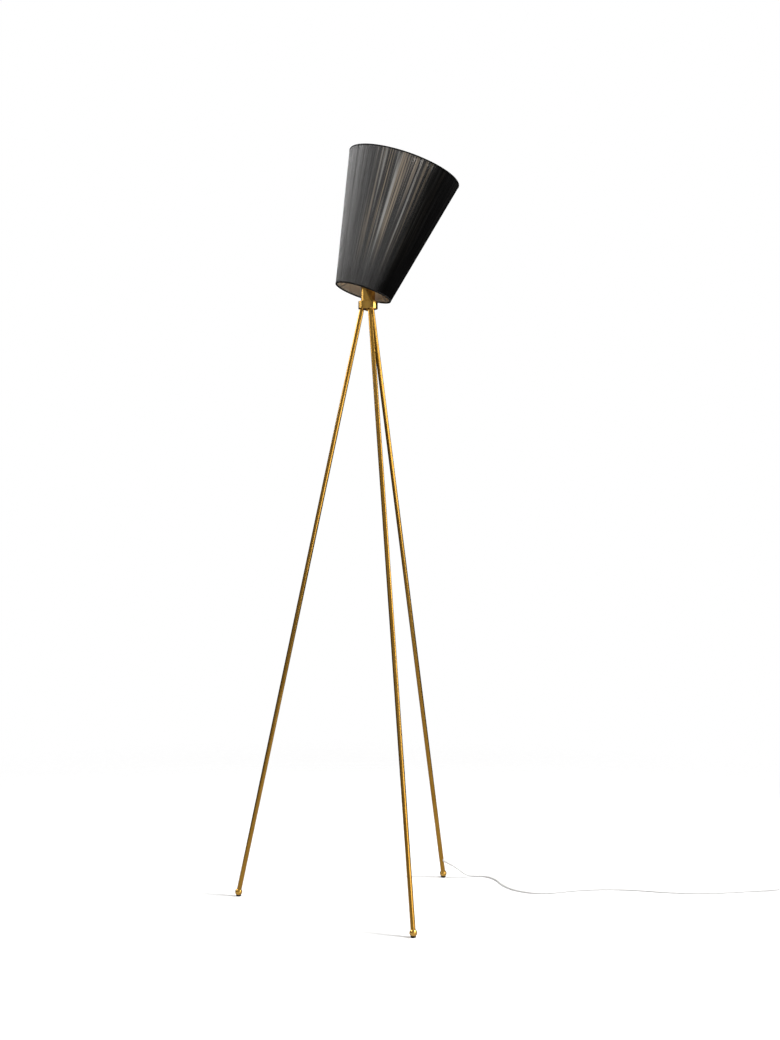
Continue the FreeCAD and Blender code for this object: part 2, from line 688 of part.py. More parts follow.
def cord_routes():
    """The cord's three stretches, from the tripod's axis: leg to switch, switch to coil, coil to plug."""
    mouth = cord_root() + cord_mouth_direction() * SLEEVE_TIP
    back = cord_root() + cord_mouth_direction() * (LEG_R + CORD_BACK)
    first = mouth + cord_mouth_direction() * CORD_FIRST
    switch_end = SWITCH_X - SWITCH_L / 2.0 - SWITCH_NECK
    switch_start = SWITCH_X + SWITCH_L / 2.0 + SWITCH_NECK
    to_switch = [back, first,
                 V(206, 188, 5.0), V(228, 197, CORD_R), V(250, 190, CORD_R), V(266, 163, CORD_R),
                 V(274, 120, CORD_R), V(293, 82, CORD_R), V(326, 60, CORD_R), V(366, 62, CORD_R),
                 V(408, 80, CORD_R), V(462, 92, CORD_R), V(522, 88, CORD_R), V(580, 70, CORD_R),
                 V(640, 60, CORD_R), V(703, 66, CORD_R), V(763, 80, CORD_R), V(806, 85, 3.4),
                 V(836, SWITCH_Y, SWITCH_SPLIT), V(switch_end, SWITCH_Y, SWITCH_SPLIT)]
    layer = COIL_LIFT + CORD_R
    outer_turn = COIL_X + COIL_MID_R + COIL_HALF - CORD_R
    to_coil = [V(switch_start, SWITCH_Y, SWITCH_SPLIT), V(966, SWITCH_Y, SWITCH_SPLIT),
               V(988, 81, 4.6), V(1012, 73, CORD_R), V(1030, 56, CORD_R),
               V(outer_turn, 36, layer - 0.3), V(outer_turn, COIL_Y, layer)]
    boot_end = PLUG_FACE_X + PLUG_L + PLUG_BOOT
    to_plug = [V(COIL_X, -14.2, 8.0), V(985, -14.9, 7.6), V(968, PLUG_Y, PLUG_Z),
               V(boot_end, PLUG_Y, PLUG_Z)]
    return to_switch, to_coil, to_plug


def cord_sleeve():
    """The soft tapered sleeve in the rear leg's wall, which the cord comes out of."""
    neck = rod(SLEEVE_NECK_R, LEG_BORE_R, LEG_R + SLEEVE_OVERLAP)
    root_at = LEG_R - SLEEVE_OVERLAP
    taper = Part.makeCone(SLEEVE_ROOT_R, SLEEVE_TIP_R, SLEEVE_TIP - root_at, V(0, 0, root_at))
    tube = turned_to(rod(LEG_R, -2 * SLEEVE_TIP, 2 * SLEEVE_TIP),
                     (AXIS_Y, -LEAN), (AXIS_Z, BEARINGS["rear"]))
    bore = rod(LEG_BORE_R, -2 * SLEEVE_TIP, 2 * SLEEVE_TIP)
    bore = turned_to(bore, (AXIS_Y, -LEAN), (AXIS_Z, BEARINGS["rear"]))
    point = (AXIS_Y, 90.0 + CORD_DROOP)
    sleeve = turned_to(neck, point).cut(bore).fuse(turned_to(taper, point).cut(tube)).removeSplitter()
    hole = rod(CORD_R + FIT, LEG_R + CORD_BACK, SLEEVE_TIP)
    lead_hole = rod(LEAD_R + FIT, 0, SLEEVE_TIP)
    return shifted(sleeve.cut(turned_to(hole, point)).cut(turned_to(lead_hole, point)), cord_root())


def inner_leads():
    """The cord's leads from its sleeve up the rear leg, across the hub and up to the lampholder."""
    start = cord_root() + cord_mouth_direction() * (LEG_R + CORD_BACK)
    bearing = math.radians(BEARINGS["rear"])
    across_z = CHAMBER_Z + (COVER_Z - NUT_H - CHAMBER_Z) / 2.0
    across_r = FOOT_CIRCLE_R - (across_z - BALL_Z) * math.tan(math.radians(LEAN))
    above_tube = V(across_r * math.cos(bearing), across_r * math.sin(bearing), across_z)
    top = COLLAR_TOP - INSULATOR_LOW_H
    return tube_along("inner_leads", LEAD_R,
                      [start, cord_root(), above_tube, V(0, 0, across_z), V(0, 0, top)])


# ---- switch, coil and plug ----------------------------------------------------------------------

def switch_block(low, high, inset=0.0):
    """The rounded block that the switch's halves are cut from."""
    length = SWITCH_L - 2 * inset
    width = SWITCH_W - 2 * inset
    block = Part.makeBox(length, width, high - low, V(-length / 2.0, -width / 2.0, low))
    return block.makeFillet(SWITCH_CORNER - inset, upright_edges(block))


def switch_necks():
    """The tapered necks at both ends, round the cord's line."""
    necks = []
    for side in (1, -1):
        where = V(side * (SWITCH_L / 2.0 - SWITCH_WALL), 0, SWITCH_SPLIT)
        necks.append(Part.makeCone(SWITCH_NECK_R, SWITCH_TIP_R, SWITCH_NECK + SWITCH_WALL,
                                   where, AXIS_X * side))
    return necks


def half_of_switch(low, high):
    """The part of the switch's housing between two heights, hollow, with a boss for each screw."""
    slab = Part.makeBox(3 * SWITCH_L, 3 * SWITCH_W, high - low, V(-1.5 * SWITCH_L, -1.5 * SWITCH_W, low))
    outside = switch_block(0, SWITCH_H)
    for neck in switch_necks():
        outside = outside.fuse(neck)
    hollow = switch_block(SWITCH_WALL, SWITCH_H - SWITCH_WALL, SWITCH_WALL)
    body = outside.cut(hollow)
    for side in (1, -1):
        boss = rod(SWITCH_BOSS_R, SWITCH_WALL / 2.0, SWITCH_H - SWITCH_WALL / 2.0)
        body = body.fuse(shifted(boss, V(side * SWITCH_SCREW_X, 0, 0)))
    body = body.common(slab).removeSplitter()
    for side in (1, -1):
        hole = rod(SWITCH_SCREW_R + FIT, 0, SWITCH_SCREW_TOP + SWITCH_SCREW_LOW)
        body = body.cut(shifted(hole, V(side * SWITCH_SCREW_X, 0, 0)))
    return body


def switch_cover():
    """The upper half, with the window that the rocker tips in."""
    window = Part.makeBox(ROCKER_L + 2 * PLAY, ROCKER_W + 2 * PLAY, SWITCH_H,
                          V(-ROCKER_L / 2.0 - PLAY, -ROCKER_W / 2.0 - PLAY, SWITCH_SPLIT))
    cover = half_of_switch(SWITCH_SPLIT, SWITCH_H).cut(window)
    pin = Part.makeCylinder(ROCKER_PIN_R + RUNNING, SWITCH_W, V(0, -SWITCH_W / 2.0, ROCKER_PIN_Z), AXIS_Y)
    bracket = Part.makeBox(4 * ROCKER_PIN_R, SWITCH_WALL, SWITCH_H - ROCKER_PIN_Z + 2 * ROCKER_PIN_R,
                           V(-2 * ROCKER_PIN_R, ROCKER_W / 2.0 + PLAY, ROCKER_PIN_Z - 2 * ROCKER_PIN_R))
    bracket = bracket.common(switch_block(0, SWITCH_H))
    for turn in (0, 180):
        cover = cover.fuse(turned_to(bracket, (AXIS_Z, turn)))
    cover = cover.removeSplitter()
    inside = Part.makeBox(4 * ROCKER_PIN_R, ROCKER_W + 2 * PLAY + 2 * SWITCH_WALL, 4 * ROCKER_PIN_R,
                          V(-2 * ROCKER_PIN_R, -ROCKER_W / 2.0 - PLAY - SWITCH_WALL,
                            ROCKER_PIN_Z - 2 * ROCKER_PIN_R))
    return cover.cut(pin.common(inside))


def switch_rocker():
    """The rocker, resting with one end down, on its own two stub pins."""
    half_l = ROCKER_L / 2.0 - ROCKER_END_ROOM
    half_w = ROCKER_W / 2.0
    block = Part.makeBox(2 * half_l, ROCKER_W, ROCKER_H, V(-half_l, -half_w, -ROCKER_BELOW))
    for side in (1, -1):
        middle = V(side * ROCKER_L / 2.0, -half_w, ROCKER_HOLLOW_R + ROCKER_HOLLOW_UP)
        ramp = Part.makeCylinder(ROCKER_HOLLOW_R, ROCKER_W, middle, AXIS_Y)
        block = block.cut(ramp)
    pin_l = ROCKER_W + 2 * PLAY + 2 * SWITCH_WALL - 2 * SEAT
    pin = Part.makeCylinder(ROCKER_PIN_R, pin_l, V(0, -pin_l / 2.0, 0), AXIS_Y)
    body = block.fuse(pin).removeSplitter()
    return shifted(turned_to(body, (AXIS_Y, -ROCKER_TILT)), V(0, 0, ROCKER_PIN_Z))


def switch_screws():
    """The two screws that hold the switch's halves together, let in from below."""
    screws = []
    for side in (1, -1):
        shank = rod(SWITCH_SCREW_R, SWITCH_SCREW_LOW, SWITCH_SCREW_TOP)
        screws.append(shifted(shank, V(side * SWITCH_SCREW_X, 0, 0)))
    return screws


def cord_coil():
    """The outer shape of the wound length: a ring of seven turns in two layers."""
    low = COIL_LIFT
    high = COIL_LIFT + COIL_H
    upper_half = COIL_HALF - CORD_R
    return turned([
        (COIL_MID_R - COIL_HALF, low), (COIL_MID_R + COIL_HALF, low),
        (COIL_MID_R + COIL_HALF, low + 2 * CORD_R), (COIL_MID_R + upper_half, high),
        (COIL_MID_R - upper_half, high), (COIL_MID_R - COIL_HALF, low + 2 * CORD_R)])


def coil_tie():
    """The strap round the coil's turns."""
    low = COIL_LIFT - SEAT
    high = COIL_LIFT + COIL_H + SEAT
    half = COIL_HALF + SEAT
    outside = Part.makeBox(2 * (half + TIE_T), TIE_W, high - low + 2 * TIE_T,
                           V(COIL_MID_R - half - TIE_T, -TIE_W / 2.0, low - TIE_T))
    inside = Part.makeBox(2 * half, 2 * TIE_W, high - low, V(COIL_MID_R - half, -TIE_W, low))
    return turned_to(outside.cut(inside).cut(cord_coil()), (AXIS_Z, TIE_BEARING))


def plug_body():
    """The flat moulded plug, with its tapered boot, along X with the pins towards -X."""
    half_face = PLUG_FACE_W / 2.0
    half_wide = PLUG_WIDE / 2.0
    outline = [(0, half_face), (PLUG_STRAIGHT, half_face), (PLUG_WIDE_AT, half_wide),
               (PLUG_L, PLUG_BACK_W / 2.0)]
    points = [V(x, y, 0) for x, y in outline] + [V(x, -y, 0) for x, y in reversed(outline)]
    block = Part.Face(Part.makePolygon(points + points[:1])).extrude(V(0, 0, PLUG_T))
    block = block.makeFillet(PLUG_EDGE, upright_edges(block))
    boot_at = V(PLUG_L - PLUG_BOOT_ROOT, 0, PLUG_Z)
    boot = Part.makeCone(PLUG_BOOT_R, PLUG_BOOT_END_R, PLUG_BOOT + PLUG_BOOT_ROOT, boot_at, AXIS_X)
    return shifted(block.fuse(boot).removeSplitter(), V(PLUG_FACE_X, PLUG_Y, 0))


def plug_pins():
    """The plug's two round pins."""
    pins = []
    for side in (1, -1):
        where = V(PLUG_FACE_X, PLUG_Y + side * PLUG_PIN_GAP / 2.0, PLUG_Z)
        pins.append(Part.makeCylinder(PLUG_PIN_R, PLUG_PIN_L, where, AXIS_X * -1))
    return pins


# ---- write every sub-part -----------------------------------------------------------------------

def main():
    """Build and write the whole lamp."""
    os.makedirs("parts", exist_ok=True)

    for name, bearing in BEARINGS.items():
        tube = leg_tube(bearing)
        if name == "rear":
            tube = tube.cut(exit_hole())
        write("leg_" + name, tube)
        write("foot_ball_" + name, foot_ball(bearing))
        write("foot_pad_" + name, foot_pad(bearing))
    write("hub_body", hub_body())
    write("hub_cover", hub_cover())
    write("hub_cap", hub_cap())

    nipple_top = HUB_TOP + NIPPLE_ABOVE
    write("nipple", rod(NIPPLE_R, COVER_Z - NIPPLE_BELOW, nipple_top, NIPPLE_BORE_R))
    write("nipple_nuts", *nipple_nuts())
    write("holder_base", holder_base())
    write("holder_sleeve", rod(HOLDER_R, BASE_TOP, BASE_TOP + SLEEVE_H, SLEEVE_BORE_R))
    write("holder_insulator", insulator())
    write("terminal_screws", *terminal_screws())
    write("thread_shell", thread_shell())
    write("centre_contact", centre_contact())
    write("bulb_cap", bulb_cap())
    write("bulb_tip", bulb_tip())
    write("bulb_glass", bulb_glass())
    write("bulb_stem", bulb_stem())
    write("filaments", *filaments())

    half = SWIVEL_H / 2.0 + SEAT
    write("lower_clamp_ring", clamp_ring(PIVOT_Z - half - CLAMP_H))
    write("upper_clamp_ring", clamp_ring(PIVOT_Z + half))
    write("swivel_ring", swivel_ring())
    write("tilt_screws", *tilt_screws())
    write("tilt_washers", *tilt_washers())
    write("spider_hub", on_shade(upright_spider_hub()))
    write("spider_arms", *spider_arms())
    write("lower_wire_ring", on_shade(upright_wire_ring(LOW_WIRE_Z)))
    write("upper_wire_ring", on_shade(upright_wire_ring(TOP_WIRE_Z)))
    write("shade_threads", cone_shell(THREAD_R, THREAD_T))
    write("shade_lining", cone_shell(LINING_R, LINING_T))
    write("lower_trim", rim_trim(RIM_Z, 1))
    write("upper_trim", rim_trim(RIM_TOP_Z, -1))

    write("cord_sleeve", cord_sleeve())
    write("inner_leads", inner_leads())
    to_switch, to_coil, to_plug = cord_routes()
    write("mains_cord", tube_along("mains_cord", CORD_R, to_switch))
    write("coil_lead", tube_along("coil_lead", CORD_R, to_coil))
    write("plug_lead", tube_along("plug_lead", CORD_R, to_plug))
    coil_place = V(COIL_X, COIL_Y, 0)
    write("cord_coil", shifted(cord_coil(), coil_place))
    write("coil_tie", shifted(coil_tie(), coil_place))

    switch_place = V(SWITCH_X, SWITCH_Y, 0)
    write("switch_base", shifted(half_of_switch(0, SWITCH_SPLIT), switch_place))
    write("switch_cover", shifted(switch_cover(), switch_place))
    write("switch_screws", *[shifted(screw, switch_place) for screw in switch_screws()])
    write("switch_rocker", shifted(switch_rocker(), switch_place))
    write("plug_body", plug_body())
    write("plug_pins", *plug_pins())


main()
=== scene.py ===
# %% [markdown]
# A slender floor lamp on three brass tubes, with a tapered shade wound in black thread.
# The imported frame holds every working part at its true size, and each step below adds a finish or
# a finer surface to it. Everything is in metres, in the frame's own place.

import math

import bpy
import numpy as np
from mathutils import Matrix, Vector
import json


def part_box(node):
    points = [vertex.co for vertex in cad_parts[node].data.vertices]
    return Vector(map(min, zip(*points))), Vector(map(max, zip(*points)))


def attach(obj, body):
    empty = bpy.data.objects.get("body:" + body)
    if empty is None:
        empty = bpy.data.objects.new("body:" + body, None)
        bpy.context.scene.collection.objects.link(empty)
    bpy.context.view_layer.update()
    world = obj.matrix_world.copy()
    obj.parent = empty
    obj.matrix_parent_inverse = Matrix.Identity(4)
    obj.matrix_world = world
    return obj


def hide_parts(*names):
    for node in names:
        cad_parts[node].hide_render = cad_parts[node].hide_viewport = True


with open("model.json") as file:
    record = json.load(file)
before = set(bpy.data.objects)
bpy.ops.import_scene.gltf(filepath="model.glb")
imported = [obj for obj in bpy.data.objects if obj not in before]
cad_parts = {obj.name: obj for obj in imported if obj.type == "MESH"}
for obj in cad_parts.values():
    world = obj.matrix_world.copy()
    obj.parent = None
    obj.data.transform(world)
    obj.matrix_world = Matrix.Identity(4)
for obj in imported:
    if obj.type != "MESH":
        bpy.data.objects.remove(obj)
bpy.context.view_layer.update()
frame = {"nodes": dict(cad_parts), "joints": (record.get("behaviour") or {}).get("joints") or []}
nodes = frame["nodes"]
joints = {joint["name"]: joint for joint in frame["joints"]}
MM = 0.001
FULL_TURN = 2 * math.pi
IMAGE_LONG = 1040

hub_low, hub_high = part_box("hub_cover")
AXIS = Vector(((hub_low.x + hub_high.x) / 2, (hub_low.y + hub_high.y) / 2, 0.0))
PIVOT = Vector(joints["shade_tilt"]["pos_m"])
print("tripod axis", [round(value, 4) for value in AXIS],
      "pivot", [round(value, 4) for value in PIVOT])


def at(x, y, z):
    """A point given in millimetres from the tripod's axis on the floor, as a place in the frame."""
    return AXIS + Vector((x, y, z)) * MM


def middle_of(name):
    """The middle of a node's box."""
    low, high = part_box(name)
    return (low + high) / 2


def vertices_of(name):
    """A node's vertices, as an array with a place a row."""
    mesh = nodes[name].data
    flat = np.empty(len(mesh.vertices) * 3)
    mesh.vertices.foreach_get("co", flat)
    return flat.reshape(-1, 3)


def placed(name, data):
    """A new object with this data, in the scene."""
    thing = bpy.data.objects.new(name, data)
    bpy.context.scene.collection.objects.link(thing)
    return thing


# %% [markdown]
# The camera comes first, because the cord's unseen length is put away just outside its view.
# It stands about three metres off at half the lamp's height, turned and tipped by less than a
# degree. Those small turns are built into its axes, so that nothing has to be bent by a lens shift.

# %% Camera
CAMERA_BACK = 2.8878
CAMERA_HEIGHT = 0.7729
FOCAL_STEPS = 1519.7
SENSOR_WIDTH = 36.0
PITCH = math.radians(-0.87)
YAW = math.radians(0.87)
ROLL = math.radians(0.31)


def make_camera():
    """A camera whose right, up and back axes are worked out from its yaw, pitch and roll."""
    right = Vector((math.cos(YAW), -math.sin(YAW), 0))
    ahead = Vector((math.sin(YAW) * math.cos(PITCH), math.cos(YAW) * math.cos(PITCH),
                    math.sin(PITCH)))
    up = right.cross(ahead)
    rolled_right = right * math.cos(ROLL) + up * math.sin(ROLL)
    rolled_up = up * math.cos(ROLL) - right * math.sin(ROLL)
    turn = Matrix((rolled_right, rolled_up, -ahead)).transposed().to_4x4()
    data = bpy.data.cameras.new("camera")
    data.sensor_width = SENSOR_WIDTH
    data.lens = FOCAL_STEPS / IMAGE_LONG * SENSOR_WIDTH
    camera = placed("camera", data)
    camera.matrix_world = Matrix.Translation((AXIS.x, AXIS.y - CAMERA_BACK, CAMERA_HEIGHT)) @ turn
    bpy.context.scene.camera = camera
    print("lens", round(data.lens, 2), "mm")


make_camera()

# %% [markdown]
# The mains cord is a round white lead, 5.2 mm thick and about two and a half metres long. It
# comes out of a soft sleeve in the rear leg, drops to the floor, wanders off to the right, passes
# through an in-line switch, and is put away in a neat coil of seven turns that ends in the plug.
# A smooth spline through listed points lies like a real lead; runs and corners would look
# like bent wire. The coil's turns are points of the same spline, worked out by a loop.

# %% Cord
CORD_R = 2.6 * MM
DROOP = math.radians(30)
MOUTH_REACH = 26.0
SLEEVE_END = 14.0
ROOT = Vector((154.654, 184.966, 40.0))
OUT = Vector((math.cos(DROOP), 0, -math.sin(DROOP)))


def route_to_switch():
    """From inside the sleeve to the middle of the switch, in millimetres from the tripod's axis."""
    return [ROOT + OUT * 7.5, ROOT + OUT * (MOUTH_REACH + SLEEVE_END),
            (206, 188, 5.0), (228, 197, 2.6), (250, 190, 2.6), (266, 163, 2.6), (274, 120, 2.6),
            (293, 82, 2.6), (326, 60, 2.6), (366, 62, 2.6), (408, 80, 2.6), (462, 92, 2.6),
            (522, 88, 2.6), (580, 70, 2.6), (640, 60, 2.6), (703, 66, 2.6), (763, 80, 2.6),
            (806, 85, 3.4), (836, 83, 8.0), (862, 83, 8.0), (905, 83, 8.0)]


def route_to_coil():
    """From the switch to where the coil's first turn starts."""
    return [(948, 83, 8.0), (966, 83, 8.0), (988, 81, 4.6), (1012, 73, 2.6), (1030, 56, 2.6),
            (1038.8, 36, 3.2)]


def coil_points():
    """Seven and a quarter turns: four side by side, wound inwards, then three in their grooves.

    A point at angle a of turn k is at radius r(k), and eases to r(k + 1) in the turn's last fifth.
    Points stand out by 1 / cos(pi / steps), because the spline passes inside them by that much.
    """
    middle, lift, wide, up = (1000.0, 22.0), 3.5, 5.2, 4.5
    tracks = [38.8 - wide * k for k in range(4)] + [25.8 + wide * k for k in range(3)]
    levels = [lift] * 4 + [lift + up] * 3
    turns, steps = 7.25, 16
    points = []
    for count in range(int(turns * steps) + 1):
        turn = min(count // steps, len(tracks) - 1)
        share = count / steps - turn
        ease = min(max((share - 0.8) / 0.2, 0.0), 1.0)
        ease = ease * ease * (3 - 2 * ease)
        later = min(turn + 1, len(tracks) - 1)
        radius = (tracks[turn] * (1 - ease) + tracks[later] * ease) / math.cos(math.pi / steps)
        height = levels[turn] * (1 - ease) + levels[later] * ease
        angle = -2 * math.pi * count / steps
        points.append((middle[0] + radius * math.cos(angle),
                       middle[1] + radius * math.sin(angle), height))
    return points


def route_to_plug():
    """From the coil's last quarter turn to inside the plug's boot."""
    return [(985, -14.9, 7.6), (968, -14, 6.85), (952, -14, 6.85), (940, -14, 6.85)]


def make_cord():
    """One open NURBS curve along the whole route, with a round section.

    The points carry the cord's radius and the bevel is 1, so the curve's box fits the cord too.
    """
    route = route_to_switch() + route_to_coil() + coil_points() + route_to_plug()
    curve = bpy.data.curves.new("mains_lead", "CURVE")
    curve.dimensions = "3D"
    spline = curve.splines.new("NURBS")
    spline.points.add(len(route) - 1)
    places = np.array([(*at(*point), 1.0) for point in route])
    spline.points.foreach_set("co", places.ravel())
    spline.points.foreach_set("radius", np.full(len(route), CORD_R))
    spline.order_u = 3
    spline.use_endpoint_u = True
    spline.resolution_u = 5
    curve.bevel_depth = 1.0
    curve.bevel_resolution = 4
    curve.use_fill_caps = True
    print("cord points", len(route))
    return placed("mains_lead", curve)


cord = make_cord()
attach(cord, "tripod")
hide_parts("mains_cord", "coil_lead", "cord_coil", "plug_lead")

# %% [markdown]
# The surround and every material are trees of shader nodes. One helper adds a node with its
# inputs linked or filled by name, and the others make the few that come up again and again.

# %% Helpers for shader nodes
def adder(tree):
    """A function that adds a node to a tree, sets its properties, and links or fills its inputs.

    An input goes by its name, with underscores for spaces, or by its number, as n0, n1 and so on.
    """
    def add(kind, settings=None, **inputs):
        node = tree.nodes.new("ShaderNode" + kind)
        for key, value in (settings or {}).items():
            setattr(node, key, value)
        for key, value in inputs.items():
            name = int(key[1:]) if key[1:].isdigit() else key.replace("_", " ")
            if isinstance(value, bpy.types.NodeSocket):
                tree.links.new(value, node.inputs[name])
            else:
                node.inputs[name].default_value = value
        return node

    return add


def emptied(owner):
    """An adder for a material's or world's own tree, emptied."""
    owner.use_nodes = True
    owner.node_tree.nodes.clear()
    return adder(owner.node_tree)


def maths(add, operation, *values):
    """The result of an operation on up to three values, each a socket or a plain number."""
    numbered = {"n" + str(place): value for place, value in enumerate(values)}
    return add("Math", {"operation": operation}, **numbered).outputs[0]


def ramp(add, value, reach=(0, 1), gives=(0, 1), curve="LINEAR"):
    """A value that runs over the first pair, turned into one that runs over the second."""
    return add("MapRange", {"interpolation_type": curve}, Value=value, From_Min=reach[0],
               From_Max=reach[1], To_Min=gives[0], To_Max=gives[1]).outputs["Result"]


def mixed(add, mask, *tones):
    """A colour that runs from the first tone to the second as the mask goes from 0 to 1."""
    first, second = (tone if isinstance(tone, bpy.types.NodeSocket) else (*tone, 1)
                     for tone in tones)
    return add("Mix", {"data_type": "RGBA"}, n0=mask, n6=first, n7=second).outputs[2]


# %% [markdown]
# A plain studio goes round the lamp: a pale floor that fades into a white surround, and four
# soft lights. A round brass tube shows its surroundings as upright stripes, so the lights'
# places matter more than their strength. A panel at the right draws the pale line on each tube, a
# raised one at the left gives the wound thread its grey sheen, a low one in front lights the
# shade's inside and its right, and a small bright one at the right casts the short shadows at the
# feet. Everything else round the lamp is left dim, which keeps the tubes' middles deep and golden.

# %% Floor, surround and lights
FLOOR_REACH = 3.2
FLOOR_SIDES = 96
FLOOR_FADE = (0.6, 2.0)
FLOOR_IN_BRASS = (0.44, 0.435, 0.43)
FLOOR_LOOKED_AT = (0.70, 0.70, 0.70)
FLOOR_GLOW = 0.12
BRIGHT_WAY = Vector((-0.25, -0.72, 0.62)).normalized()
SURROUND_SPREAD = (0.2, 1)
SURROUND_STRENGTH = (0.03, 0.52)
LIGHT_BACK = 2.3
LAMP_TOP = Vector((AXIS.x, AXIS.y, 1.2))
LIGHTS = (("right_panel", 84, 2, 1.2, 1.1, 25), ("left_panel", -112, 26, 1.9, 1.5, 58),
          ("low_panel", 45, -18, 1.9, 0.7, 17), ("key_panel", 78, 42, 0.45, 0.45, 112))
bpy.context.scene.view_settings.view_transform = "Standard"


def make_surround():
    """White where it is looked at, and dim where it lights the lamp or shows in the brass."""
    world = bpy.data.worlds.new("surround")
    bpy.context.scene.world = world
    add = emptied(world)
    facing = add("VectorMath", {"operation": "DOT_PRODUCT"},
                 n0=add("TexCoord").outputs["Generated"], n1=BRIGHT_WAY)
    strength = ramp(add, facing.outputs["Value"], SURROUND_SPREAD, SURROUND_STRENGTH)
    dim = add("Background", Color=(1.0, 0.985, 0.96, 1), Strength=strength)
    seen = add("Background", Color=(1, 1, 1, 1), Strength=1.0)
    mix = add("MixShader", Fac=add("LightPath").outputs["Is Camera Ray"],
              n1=dim.outputs[0], n2=seen.outputs[0])
    add("OutputWorld", Surface=mix.outputs[0])


def make_floor():
    """A pale disc of floor, whose rim fades to nothing so that no horizon shows."""
    angles = np.linspace(0, FULL_TURN, FLOOR_SIDES, endpoint=False)
    rim = np.stack([AXIS.x + FLOOR_REACH * np.cos(angles), AXIS.y + FLOOR_REACH * np.sin(angles),
                    np.zeros(FLOOR_SIDES)], axis=1)
    mesh = bpy.data.meshes.new("floor")
    mesh.from_pydata(rim.tolist(), [], [list(range(FLOOR_SIDES))])
    paint = bpy.data.materials.new("pale_floor")
    add = emptied(paint)
    place = add("TexCoord").outputs["Object"]
    distance = add("VectorMath", {"operation": "LENGTH"}, n0=place).outputs["Value"]
    grain = add("TexNoise", Vector=place, Scale=60.0, Detail=3.0)
    bump = add("Bump", Height=grain.outputs["Fac"], Strength=0.05, Distance=0.001)
    looked_at = add("LightPath").outputs["Is Camera Ray"]
    matt = add("BsdfDiffuse", Color=mixed(add, looked_at, FLOOR_IN_BRASS, FLOOR_LOOKED_AT),
               Normal=bump.outputs["Normal"])
    glow = add("Emission", Color=(1, 1, 1, 1),
               Strength=maths(add, "MULTIPLY", looked_at, FLOOR_GLOW))
    both = add("AddShader", n0=matt.outputs[0], n1=glow.outputs[0])
    mix = add("MixShader", Fac=ramp(add, distance, FLOOR_FADE, curve="SMOOTHSTEP"),
              n1=both.outputs[0], n2=add("BsdfTransparent").outputs[0])
    add("OutputMaterial", Surface=mix.outputs[0])
    mesh.materials.append(paint)
    placed("floor", mesh)


def soft_light(name, bearing, elevation, width, height, power):
    """A rectangular panel that faces the lamp's top from LIGHT_BACK metres off.

    bearing and elevation are in degrees, as seen from the lamp's top. A bearing of 0 is the
    lamp's front, and 90 its right.
    """
    across, up = math.radians(bearing), math.radians(elevation)
    away = Vector((math.cos(up) * math.sin(across), -math.cos(up) * math.cos(across),
                   math.sin(up)))
    data = bpy.data.lights.new(name, "AREA")
    data.shape = "RECTANGLE"
    data.size = width
    data.size_y = height
    data.energy = power
    light = placed(name, data)
    light.matrix_world = (Matrix.Translation(LAMP_TOP + LIGHT_BACK * away)
                          @ (-away).to_track_quat("-Z", "Y").to_matrix().to_4x4())
    light.visible_camera = False


make_surround()
make_floor()
for light in LIGHTS:
    soft_light(*light)
print("lights", [light.name for light in bpy.data.lights])

# %% [markdown]
# Several finishes share the same small effects: a slow cloudiness left by handling, the fine
# lines that drawing or turning leaves in metal, a woven tape's ribs, and settled dust. Each is a
# node group, built once and placed in a material with its own values. A group gives out only
# masks and heights, and the shader itself stays in the material.

# %% Shared node groups
def new_group(name, **inputs):
    """An empty shader group with these inputs and defaults, its adder, and what it takes."""
    group = bpy.data.node_groups.new(name, "ShaderNodeTree")
    for title, value in inputs.items():
        kind = "NodeSocketFloat" if isinstance(value, float) else "NodeSocketVector"
        socket = group.interface.new_socket(title, in_out="INPUT", socket_type=kind)
        if value is not None:
            socket.default_value = value
    return group, adder(group), group.nodes.new("NodeGroupInput").outputs


def giving(group, title, value):
    """The group, with its one output, a number that this value feeds."""
    group.interface.new_socket(title, in_out="OUTPUT", socket_type="NodeSocketFloat")
    group.links.new(value, group.nodes.new("NodeGroupOutput").inputs[title])
    return group


def cloudiness_group():
    """Slow clouds with a few smudges: noise at the scale asked for, and a finer one over it."""
    group, add, take = new_group("cloudiness", Vector=None, Scale=14.0)
    slow = add("TexNoise", Vector=take["Vector"], Scale=take["Scale"], Detail=3.0, Roughness=0.6)
    finer = maths(add, "MULTIPLY", take["Scale"], 5.0)
    smudge = add("TexNoise", Vector=take["Vector"], Scale=finer, Detail=2.0)
    joined = maths(add, "MULTIPLY_ADD", smudge.outputs["Fac"], 0.35, slow.outputs["Fac"])
    return giving(group, "Mask", ramp(add, joined, (0.45, 0.9)))


def fine_lines_group():
    """Fine lines along one direction: noise whose coordinates are squeezed along it."""
    group, add, take = new_group("fine_lines", Vector=None, Across=(2500, 2500, 12))
    squeezed = add("VectorMath", {"operation": "MULTIPLY"}, n0=take["Vector"], n1=take["Across"])
    lines = add("TexNoise", Vector=squeezed.outputs[0], Scale=1.0, Detail=2.0)
    return giving(group, "Height", lines.outputs["Fac"])


def ribbed_tape_group():
    """A woven tape's ribs: a rounded wave across the tape, broken by a finer one along it."""
    group, add, take = new_group("ribbed_tape", Vector=None, Ribs=400.0, Picks=6.0)
    split = add("SeparateXYZ", Vector=take["Vector"]).outputs
    waves = []
    for axis, count in (("X", "Ribs"), ("Y", "Picks")):
        turns = maths(add, "MULTIPLY", split[axis], take[count])
        wave = maths(add, "SINE", maths(add, "MULTIPLY", turns, FULL_TURN))
        waves.append(maths(add, "ABSOLUTE", wave))
    return giving(group, "Height", maths(add, "MULTIPLY", *waves))


